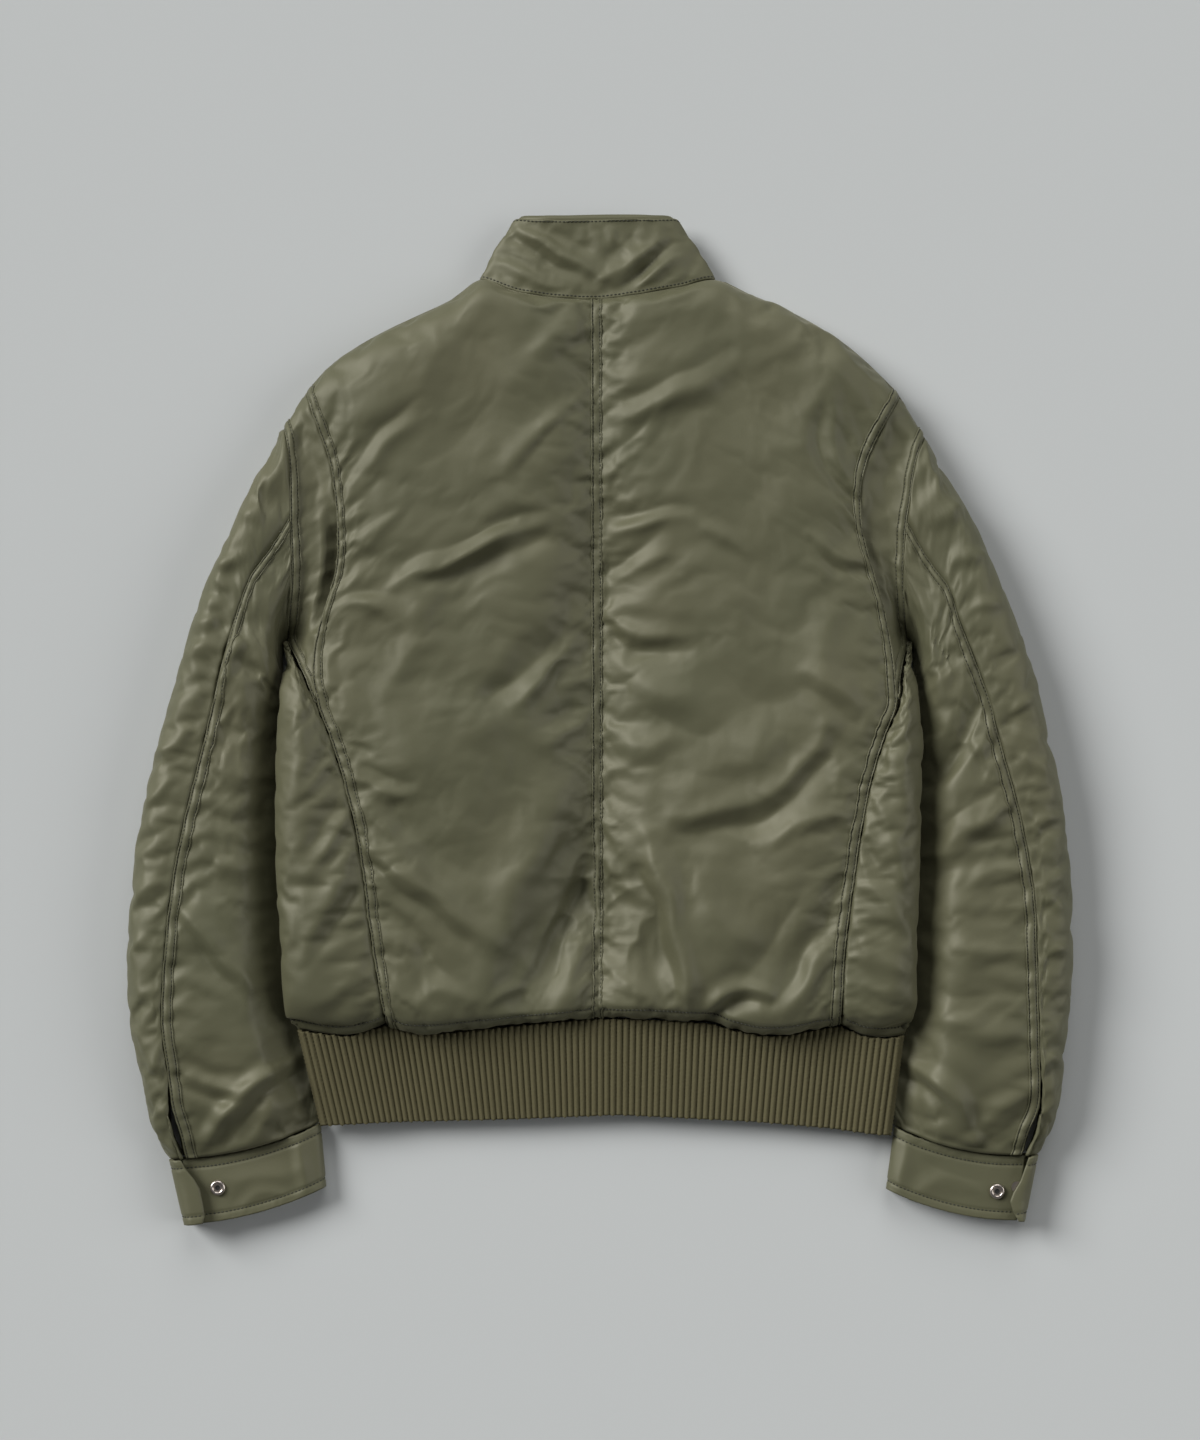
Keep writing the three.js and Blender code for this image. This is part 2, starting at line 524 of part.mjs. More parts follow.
// The cuff band: starts on the back beside the vent, runs round the inner fold, under and
// round the outer fold, and its tab laps over the start.
const CUFF_PATH = table(['from', 'to', 't', 'z'], [
  ['start', 'inner', 0, 1], ['start', 'inner', 0.25, 1.06], ['start', 'inner', 0.5, 1.04],
  ['start', 'inner', 0.75, 1], ['start', 'inner', 0.93, 0.9], ['start', 'inner', 0.985, 0.72],
  ['start', 'inner', 1, 0.45], ['start', 'inner', 0.985, 0.14], ['start', 'inner', 0.94, 0],
  ['start', 'inner', 0.7, 0], ['start', 'inner', 0.35, 0], ['start', 'inner', 0.06, 0],
  ['outer', 'start', 0.3, 0.12], ['outer', 'start', 0, 0.62], ['outer', 'start', 0.15, 1.15],
  ['outer', 'start', 0.7, 1.38], ['outer', 'tab', 0.75, 1.42], ['outer', 'tab', 1, 1.4],
]);
const CUFF_ROWS = 3;
const CUFF_GAP = 0.9;

function cuffGrid(name) {
  const side = SIDES[name];
  return steps(0, 1, CUFF_ROWS).map((v) => {
    const [seam, hem] = cuffEdges[name];
    const at = Object.fromEntries(CUFF.map((key) => [key, mix(seam[key], hem[key], v)]));
    const outer = vec(at.outerX * side, at.outerY);
    const inner = vec(at.innerX * side, at.innerY);
    const share = { outer: 0, start: at.start, tab: at.tab, inner: 1 };
    return CUFF_PATH.map(({ from, to, t, z }) => {
      const across = mix(share[from], share[to], t);
      const point = outer.clone().lerp(inner, across);
      point.y -= at.bow * 4 * across * (1 - across) + CUFF_GAP;
      point.z = z * CUFF_HEIGHT;
      return point;
    });
  });
}

// Collar stand: from one end at the zip, round the neck and back to the other.
const COLLAR_ROWS = 3;

function collarGrid(backs, fronts, from, to) {
  const neckOf = (name) => {
    const front = fronts[name];
    const under = front[front.length - 1].slice(0, NECK_COLUMNS);
    const over = backs[name][backs[name].length - 1].slice(0, NECK_COLUMNS + 1).reverse();
    return [...under, ...over];
  };
  const base = [...neckOf('left'), ...neckOf('right').reverse().slice(1)];
  const edge = curveThrough(placed(collarTop, 1));
  const lengths = shares(base);
  const top = lengths.map((u) => edge.getPointAt(u));
  return steps(from, to, to < 1 ? COLLAR_ROWS : 1).map((v) => base.map((low, i) => {
    const point = low.clone().lerp(top[i], v);
    const sideShare = 1 - clamp01(Math.abs(point.z - NECK_SEAM_Z / 2) / (NECK_SEAM_Z / 2));
    point.x += Math.sign(point.x) * COLLAR_BULGE * 4 * v * (1 - v) * sideShare;
    point.z = Math.max(0, point.z);
    return point;
  }));
}

// Waist rib: raised ribs round the back and both side folds, plain where it rests flat. It
// hangs from the body's own hem line.
const RIB_PITCH = 5.3;
const RIB_HEIGHT = 0.9;
const RIB_ROWS = 2;
const RIB_DROP = 0.5; // clears the shell's padding where it rolls into the seam
const RIB_END_Z = 0.72; // the rib's lower edge lies lower than its seam by this share

function ribGrid(backs, sides, fronts) {
  const half = (name) => [
    ...backs[name][0].slice(1), ...sides[name][0].slice(1), fronts[name][0][0],
  ];
  const line = measured([...half('left').reverse(), backs.left[0][0], ...half('right')]);
  const flat = (z) => z < 0.5;
  const count = Math.round(line.length / (RIB_PITCH / 2));
  const marks = steps(0, line.length, count).map((d, i) => ({ point: line.at(d), peak: i % 2 }));
  const keep = marks.filter((m, i) => !flat(m.point.z) || i % 24 === 0 || i === count
    || !flat(marks[Math.min(count, i + 1)].point.z) || !flat(marks[i - 1].point.z));
  const low = bottomOf(line);
  return steps(0, 1, RIB_ROWS).map((v) => keep.map(({ point, peak }, i) => {
    const before = keep[Math.max(0, i - 1)].point;
    const after = keep[Math.min(keep.length - 1, i + 1)].point;
    const out = vec(-(after.z - before.z), 0, after.x - before.x).normalize();
    const raised = flat(point.z) ? 0 : peak * RIB_HEIGHT;
    const here = point.clone().lerp(low(point), v);
    here.y -= RIB_DROP;
    here.addScaledVector(out, raised);
    here.z = Math.max(0, here.z);
    return here;
  }));
}

// The rib's lower edge below a point of its seam.
function bottomOf(line) {
  const seam = steps(0, line.length, 60).map((d) => line.at(d).x);
  const narrowing = {
    left: ribEdge[0].x / Math.min(...seam), right: ribEdge[ribEdge.length - 1].x / Math.max(...seam),
  };
  return (point) => {
    const share = narrowing[point.x < 0 ? 'left' : 'right'];
    const x = point.x * (Math.abs(point.x) > ZIP_HALF_GAP + 1 ? share : 1);
    return vec(x, lookup(ribEdge, 'x', x, 'y'), point.z * RIB_END_Z);
  };
}

// Outer normals of all panels of one garment, averaged where panels meet.
function sharedNormals(panels) {
  const key = (p) => `${Math.round(p.x * 100)},${Math.round(p.y * 100)},${Math.round(p.z * 100)}`;
  const normals = new Map();
  const add = (p, n) => {
    if (!normals.has(key(p))) normals.set(key(p), vec(0, 0));
    normals.get(key(p)).add(n);
  };
  panels.forEach(({ grid, flip }) => {
    for (let r = 1; r < grid.length; r += 1) {
      for (let c = 1; c < grid[0].length; c += 1) {
        const quad = [grid[r - 1][c - 1], grid[r - 1][c], grid[r][c], grid[r][c - 1]];
        const normal = quad[2].clone().sub(quad[0]).cross(quad[3].clone().sub(quad[1]));
        normal.multiplyScalar(flip ? -1 : 1);
        quad.forEach((p) => add(p, normal));
      }
    }
  });
  return (p) => normals.get(key(p)).clone().normalize();
}

// A closed wall of cloth: the outer grid, the same grid moved in by the thickness, and its
// four edges. Edges are drawn back so that neighbours stay clear at the seams.
function wall({ grid, flip, thickness, inset = SEAM_INSET }, normalAt) {
  const [rows, columns] = [grid.length, grid[0].length];
  const drawnBack = (r, c) => {
    const move = vec(0, 0);
    const toward = (r2, c2) => move.add(grid[r2][c2].clone().sub(grid[r][c]).setLength(inset));
    if (r === 0) toward(1, c);
    if (r === rows - 1) toward(rows - 2, c);
    if (c === 0) toward(r, 1);
    if (c === columns - 1) toward(r, columns - 2);
    return move;
  };
  const outer = [];
  const inner = [];
  grid.forEach((row, r) => row.forEach((point, c) => {
    const here = point.clone().add(drawnBack(r, c));
    outer.push(here);
    inner.push(here.clone().addScaledVector(normalAt(point), -thickness));
  }));
  const id = (r, c) => r * columns + c;
  const shift = rows * columns;
  const faces = [];
  const quad = (a, b, c, d) => faces.push(a, b, c, a, c, d);
  for (let r = 1; r < rows; r += 1) {
    for (let c = 1; c < columns; c += 1) {
      const [a, b, d, e] = [id(r - 1, c - 1), id(r - 1, c), id(r, c), id(r, c - 1)];
      quad(a, b, d, e);
      quad(a + shift, e + shift, d + shift, b + shift);
    }
  }
  const loop = [];
  for (let c = 0; c < columns - 1; c += 1) loop.push(id(0, c));
  for (let r = 0; r < rows - 1; r += 1) loop.push(id(r, columns - 1));
  for (let c = columns - 1; c > 0; c -= 1) loop.push(id(rows - 1, c));
  for (let r = rows - 1; r > 0; r -= 1) loop.push(id(r, 0));
  const place = (i) => Math.round(outer[i].y) * 1e4 + Math.round(outer[i].x);
  loop.forEach((a, i) => {
    const b = loop[(i + 1) % loop.length];
    if (place(a) < place(b)) quad(b, a, a + shift, b + shift);
    else quad(a, a + shift, b + shift, b);
  });
  if (flip) faces.reverse();
  const geometry = new THREE.BufferGeometry();
  const numbers = [...outer, ...inner].flatMap((p) => [p.x, p.y, p.z]);
  geometry.setAttribute('position', new THREE.Float32BufferAttribute(numbers, 3));
  geometry.setIndex(faces);
  geometry.computeVertexNormals();
  return geometry;
}

const cloth = (color, roughness) => new THREE.MeshStandardMaterial({ color, roughness, metalness: 0 });
const FINISH = {
  nylon: () => cloth(0x5b5b45, 0.42),
  knit: () => cloth(0x5a5340, 0.9),
  tape: () => cloth(0x45462f, 0.8),
  nickel: () => new THREE.MeshStandardMaterial({ color: 0xc9c3bf, roughness: 0.25, metalness: 1 }),
  brass: () => new THREE.MeshStandardMaterial({ color: 0x9c8f6c, roughness: 0.35, metalness: 1 }),
};

const jacket = new THREE.Group();

function addPiece(name, geometry, finish) {
  const mesh = new THREE.Mesh(geometry, FINISH[finish]());
  mesh.name = name;
  jacket.add(mesh);
  return mesh;
}

// A ring section of a sleeve between two of its columns, going round past the outer fold.
function cutRing(rings, from, to) {
  return rings.map((ring) => {
    const cut = [];
    for (let i = from; i <= to; i += 1) cut.push(ring[i % ring.length]);
    return cut;
  });
}

// Opens the slit above the cuff by drawing one edge of a sleeve panel back.
function opened(rows, edge) {
  const last = rows.length - 1;
  const at = edge === 'first' ? 0 : rows[0].length - 1;
  const next = edge === 'first' ? 1 : rows[0].length - 2;
  return rows.map((row, r) => {
    const wide = VENT.open * clamp01((r - (last - VENT.rows)) / VENT.rows);
    if (wide === 0) return row;
    const copy = row.map((p) => p.clone());
    copy[at].add(row[next].clone().sub(row[at]).setLength(wide));
    return copy;
  });
}

function shellPanels() {
  const [backs, gussets, sides, fronts, panels] = [{}, {}, {}, {}, []];
  Object.keys(SIDES).forEach((name) => {
    const left = name === 'left';
    backs[name] = backGrid(name);
    gussets[name] = gussetGrid(name, backs[name]);
    sides[name] = sideGrid(name, backs[name], gussets[name]);
    fronts[name] = frontGrid(name, backs[name], gussets[name], sides[name]);
    const rings = sleeveGrid(name, gussets[name], fronts[name]);
    const ringSize = rings[0].length;
    const underEnd = TOP_OUTER + TOP_INNER + UNDER_SEAM;
    const panel = (piece, grid, flip, thickness, inset) =>
      panels.push({ name: `${piece}_${name}`, grid, flip, thickness, inset });
    panel('back', backs[name], left, WALL.shell);
    panel('gusset', gussets[name], left, WALL.shell, GUSSET_INSET);
    panel('side_panel', sides[name], left, WALL.shell);
    panel('front', fronts[name], !left, WALL.shell);
    panel('sleeve_under', opened(cutRing(rings, TOP_OUTER, underEnd), 'first'), left, WALL.sleeve);
    panel('sleeve_top', opened(cutRing(rings, underEnd, ringSize + TOP_OUTER), 'last'), left, WALL.sleeve);
  });
  return { backs, sides, fronts, panels };
}

const { backs, sides, fronts, panels } = shellPanels();
const shellNormals = sharedNormals(panels);
panels.forEach((panel) => addPiece(panel.name, wall(panel, shellNormals), 'nylon'));

const collar = {
  grid: collarGrid(backs, fronts, 0, BINDING_SHARE.collar), flip: false, thickness: WALL.collar,
};
const binding = {
  grid: collarGrid(backs, fronts, BINDING_SHARE.bound, 1), flip: false, thickness: WALL.binding,
};
const rib = { grid: ribGrid(backs, sides, fronts), flip: true, thickness: WALL.rib };
const cuffs = Object.keys(SIDES).map((name) =>
  ({ name, grid: cuffGrid(name), flip: name === 'left', thickness: WALL.cuff }));

const collarNormals = sharedNormals([collar, binding]);
addPiece('collar', wall(collar, collarNormals), 'nylon');
addPiece('collar_binding', wall(binding, collarNormals), 'nylon');
addPiece('waist_rib', wall(rib, sharedNormals([rib])), 'knit');
cuffs.forEach((cuff) => addPiece(`cuff_${cuff.name}`, wall(cuff, sharedNormals([cuff])), 'nylon'));

// The studs, turned about their own centre line
function turned(profile, sides, place) {
  const points = profile.map(([radius, height]) => new THREE.Vector2(radius, height));
  const geometry = new THREE.LatheGeometry([...points, points[0]], sides);
  geometry.rotateX(Math.PI / 2);
  geometry.translate(place.x, place.y, place.z);
  return geometry;
}

const socketProfile = [
  [SNAP.hole, 0], [SNAP.rim, 0], [SNAP.rim, SNAP.height * 0.55],
  [(SNAP.rim + SNAP.lip) / 2, SNAP.height],
  [SNAP.lip, SNAP.height], [SNAP.lip - 1, SNAP.dish], [SNAP.hole, SNAP.dish],
];
Object.keys(SIDES).forEach((name) => {
  const seat = { ...snapPlace[name], z: snapPlace[name].z + SNAP.gap };
  addPiece(`snap_${name}`, turned(socketProfile, SNAP.sides, seat), 'nickel');
  const mate = new THREE.CylinderGeometry(MATE.radius, MATE.radius, MATE.height, MATE.sides);
  mate.rotateX(Math.PI / 2);
  mate.translate(matePlace[name].x, matePlace[name].y, MATE_TOP - MATE.height / 2);
  addPiece(`snap_mate_${name}`, mate, 'nickel');
});

// The zip: chain, a tape on each side of it, and the slider with its pull lying flat
function strip(x0, x1, { from, to, low, high }) {
  const box = new THREE.BoxGeometry(x1 - x0, to - from, high - low);
  return box.translate((x0 + x1) / 2, (from + to) / 2, (low + high) / 2);
}
addPiece('zip_chain', strip(-CHAIN.half, CHAIN.half, CHAIN), 'brass');
addPiece('zip_tape_left', strip(-TAPE.outer, -TAPE.inner, TAPE), 'tape');
addPiece('zip_tape_right', strip(TAPE.inner, TAPE.outer, TAPE), 'tape');

const sliderSide = new THREE.Shape([
  [SLIDER.pullFrom, SLIDER.low], [SLIDER.to, SLIDER.low], [SLIDER.to, SLIDER.high],
  [SLIDER.from, SLIDER.high], [SLIDER.from, SLIDER.pullHigh], [SLIDER.pullFrom, SLIDER.pullHigh],
].map(([y, z]) => new THREE.Vector2(y, z)));
const slider = new THREE.ExtrudeGeometry(sliderSide, { depth: SLIDER.width, bevelEnabled: false });
// The drawn side view's axes become +Y and +Z, and its depth runs along +X.
slider.applyMatrix4(new THREE.Matrix4().set(0, 0, 1, -SLIDER.width / 2, 1, 0, 0, 0, 0, 1, 0, 0, 0, 0, 0, 1));
addPiece('zip_slider', slider, 'brass');

export default jacket;
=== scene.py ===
# A padded nylon bomber jacket laid flat on its front, on a pale floor, seen from above.
# Lengths are in metres. The frame gives each panel's form; this file adds the cloth's surface.
import math
from collections import Counter

import bpy
import numpy as np
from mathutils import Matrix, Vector


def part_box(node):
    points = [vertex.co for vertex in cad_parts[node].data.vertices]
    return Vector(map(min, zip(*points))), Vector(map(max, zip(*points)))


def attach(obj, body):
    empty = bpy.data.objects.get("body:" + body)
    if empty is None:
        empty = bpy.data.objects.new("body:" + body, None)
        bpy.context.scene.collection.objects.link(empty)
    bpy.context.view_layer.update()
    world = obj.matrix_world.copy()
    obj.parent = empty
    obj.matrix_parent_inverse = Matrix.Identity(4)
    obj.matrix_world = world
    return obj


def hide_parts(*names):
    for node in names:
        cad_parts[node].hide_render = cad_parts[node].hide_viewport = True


MM = 0.001
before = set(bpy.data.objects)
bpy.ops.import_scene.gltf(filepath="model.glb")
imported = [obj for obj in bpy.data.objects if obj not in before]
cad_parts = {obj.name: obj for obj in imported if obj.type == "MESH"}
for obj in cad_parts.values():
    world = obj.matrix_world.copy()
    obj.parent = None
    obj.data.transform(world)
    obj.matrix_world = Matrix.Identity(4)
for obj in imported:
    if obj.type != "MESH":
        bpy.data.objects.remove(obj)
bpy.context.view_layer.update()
bpy.ops.object.select_all(action="DESELECT")
scene = bpy.context.scene
SIDES = {"left": -1, "right": 1}

# Cloth thicknesses of the frame's walls, and of the cloth drawn here
WALLS = {"back": 3, "gusset": 3, "side_panel": 3, "front": 3, "sleeve_top": 3, "sleeve_under": 3,
         "cuff": 3.4, "collar": 3.6, "collar_binding": 5, "waist_rib": 3}
SHELL = 1.4 * MM
STEP = 4.5 * MM  # spacing of the cloth's points while it settles
FINAL = 2  # rows and columns drawn for each of those


# Reading the frame's walls
def merged(node):
    """Points and triangles of a frame node, with equal corners joined."""
    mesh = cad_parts[node].data
    corners = np.array([v.co[:] for v in mesh.vertices])
    faces = np.array([p.vertices[:] for p in mesh.polygons])
    points, where = np.unique(np.round(corners, 7), axis=0, return_inverse=True)
    return points, where.reshape(-1)[faces]


def loose_parts(faces):
    """Groups of triangles that share points."""
    home = {}
    for a, b, c in faces:
        together = set()
        for v in (a, b, c):
            together |= home.get(v, {v})
        for v in together:
            home[v] = together
    groups = {id(g): g for g in home.values()}.values()
    return [np.array([f for f in faces if f[0] in g]) for g in groups]


def outer_faces(points, faces, wall):
    """The outer skin of a wall: its edge strips have the wall's own thickness as a side."""
    sides = points[faces] - points[np.roll(faces, -1, axis=1)]
    rim = (np.abs(np.linalg.norm(sides, axis=2) - wall) < 5e-6).any(axis=1)
    skins = loose_parts([tuple(f) for f in faces[~rim]])
    return max(skins, key=lambda f: np.ptp(points[np.unique(f)], axis=0).sum())


def walked(faces):
    """A skin's points as rows and columns, read off triangle by triangle from one corner."""
    third = {}
    for a, b, c in faces:
        third[a, b], third[b, c], third[c, a] = c, a, b
    after = {a: b for a, b in third if (b, a) not in third}
    before = {b: a for a, b in after.items()}
    count = Counter(int(v) for v in faces.ravel())
    start = next(v for v in after if count[v] == 2)
    row = [start]
    while len(row) == 1 or count[row[-1]] > 2:
        row.append(after[row[-1]])
    rows = [row]
    first = before[start]
    while True:
        line = [first]
        for above in rows[-1][:-1]:
            line.append(third[line[-1], above])
        rows.append(line)
        if count[first] <= 2:
            return np.array(rows)
        first = before[first]


class Skin:
    """A panel's outer skin: points in rows and columns, and which way its normals turn."""

    def __init__(self, grid, turn):
        self.grid = grid
        self.turn = turn

    def normals(self):
        down = np.gradient(self.grid, axis=0)
        across = np.gradient(self.grid, axis=1)
        normal = np.cross(across, down) * self.turn
        return normal / np.maximum(np.linalg.norm(normal, axis=2), 1e-12)[..., None]


def by_middle(column):
    """Least for the column nearest the jacket's middle."""
    return np.abs(column[:, 0]).mean()


def by_x(column):
    return column[:, 0].mean()


def by_seam(column):
    """Least for the highest column, which is the one at the seam."""
    return -column[:, 2].mean()


def rise_share(grid, axis):
    """How much of a grid's length along an axis goes up the garment."""
    steps = np.diff(grid, axis=axis)
    return np.abs(steps[..., 1]).sum() / np.linalg.norm(steps, axis=-1).sum()


def skin_of(node, first=by_middle):
    """Reads a node's outer skin. Rows go up the garment; columns start where first is least."""
    kind = node.replace("_left", "").replace("_right", "")
    points, faces = merged(node)
    faces = outer_faces(points, faces, WALLS[kind] * MM)
    index = walked(faces)
    grid = points[index]
    if rise_share(grid, 1) > rise_share(grid, 0):
        index = index.T
    if points[index[-1], 1].mean() < points[index[0], 1].mean():
        index = index[::-1]
    if first(points[index[:, 0]]) > first(points[index[:, -1]]):
        index = index[:, ::-1]
    a, b, c = points[faces[:, 0]], points[faces[:, 1]], points[faces[:, 2]]
    facing = np.zeros_like(points)
    for k in range(3):
        np.add.at(facing, faces[:, k], np.cross(b - a, c - a))
    skin = Skin(points[index], 1)
    skin.turn = np.sign((skin.normals() * facing[index]).sum())
    return skin


def refined(grid, axis, step=STEP, parts=None):
    """More rows or columns between those of a grid, on smooth curves through its points.
    They lie a step apart, or divide each gap into equal parts."""
    lines = np.moveaxis(grid, axis, 0)
    gaps = np.maximum(np.linalg.norm(np.diff(lines, axis=0), axis=2), 1e-6)
    slope = np.diff(lines, axis=0) / gaps[..., None]
    tangent = np.empty_like(lines)
    near, far = gaps[:-1, :, None], gaps[1:, :, None]
    tangent[1:-1] = (slope[:-1] * far + slope[1:] * near) / (near + far)
    tangent[0] = 1.5 * slope[0] - 0.5 * tangent[1] if len(lines) > 2 else slope[0]
    tangent[-1] = 1.5 * slope[-1] - 0.5 * tangent[-2] if len(lines) > 2 else slope[-1]
    out = [lines[0]]
    for i in range(len(lines) - 1):
        count = parts or max(1, round(float(gaps[i].mean()) / step))
        reach = gaps[i][:, None]
        for k in range(1, count + 1):
            t = k / count
            out.append((2 * t**3 - 3 * t**2 + 1) * lines[i] + (t**3 - 2 * t**2 + t) * reach * tangent[i]
                       + (3 * t**2 - 2 * t**3) * lines[i + 1] + (t**3 - t**2) * reach * tangent[i + 1])
    return np.moveaxis(np.array(out), 0, axis)


def fine(node, first=by_middle, step=STEP):
    """A node's outer skin with its points a step apart."""
    skin = skin_of(node, first)
    skin.grid = refined(refined(skin.grid, 0, step), 1, step)
    return skin


def doubled(skin):
    """The same skin with its points as close as they are drawn."""
    skin.grid = refined(refined(skin.grid, 0, parts=FINAL), 1, parts=FINAL)
    return skin


# Distances over a grid: across from the first column, along from the first row
def across_of(grid):
    gaps = np.linalg.norm(np.diff(grid, axis=1), axis=2)
    return np.concatenate([np.zeros((len(grid), 1)), np.cumsum(gaps, axis=1)], axis=1)


def along_of(grid):
    gaps = np.linalg.norm(np.diff(grid, axis=0), axis=2)
    return np.concatenate([np.zeros((1, grid.shape[1])), np.cumsum(gaps, axis=0)], axis=0)


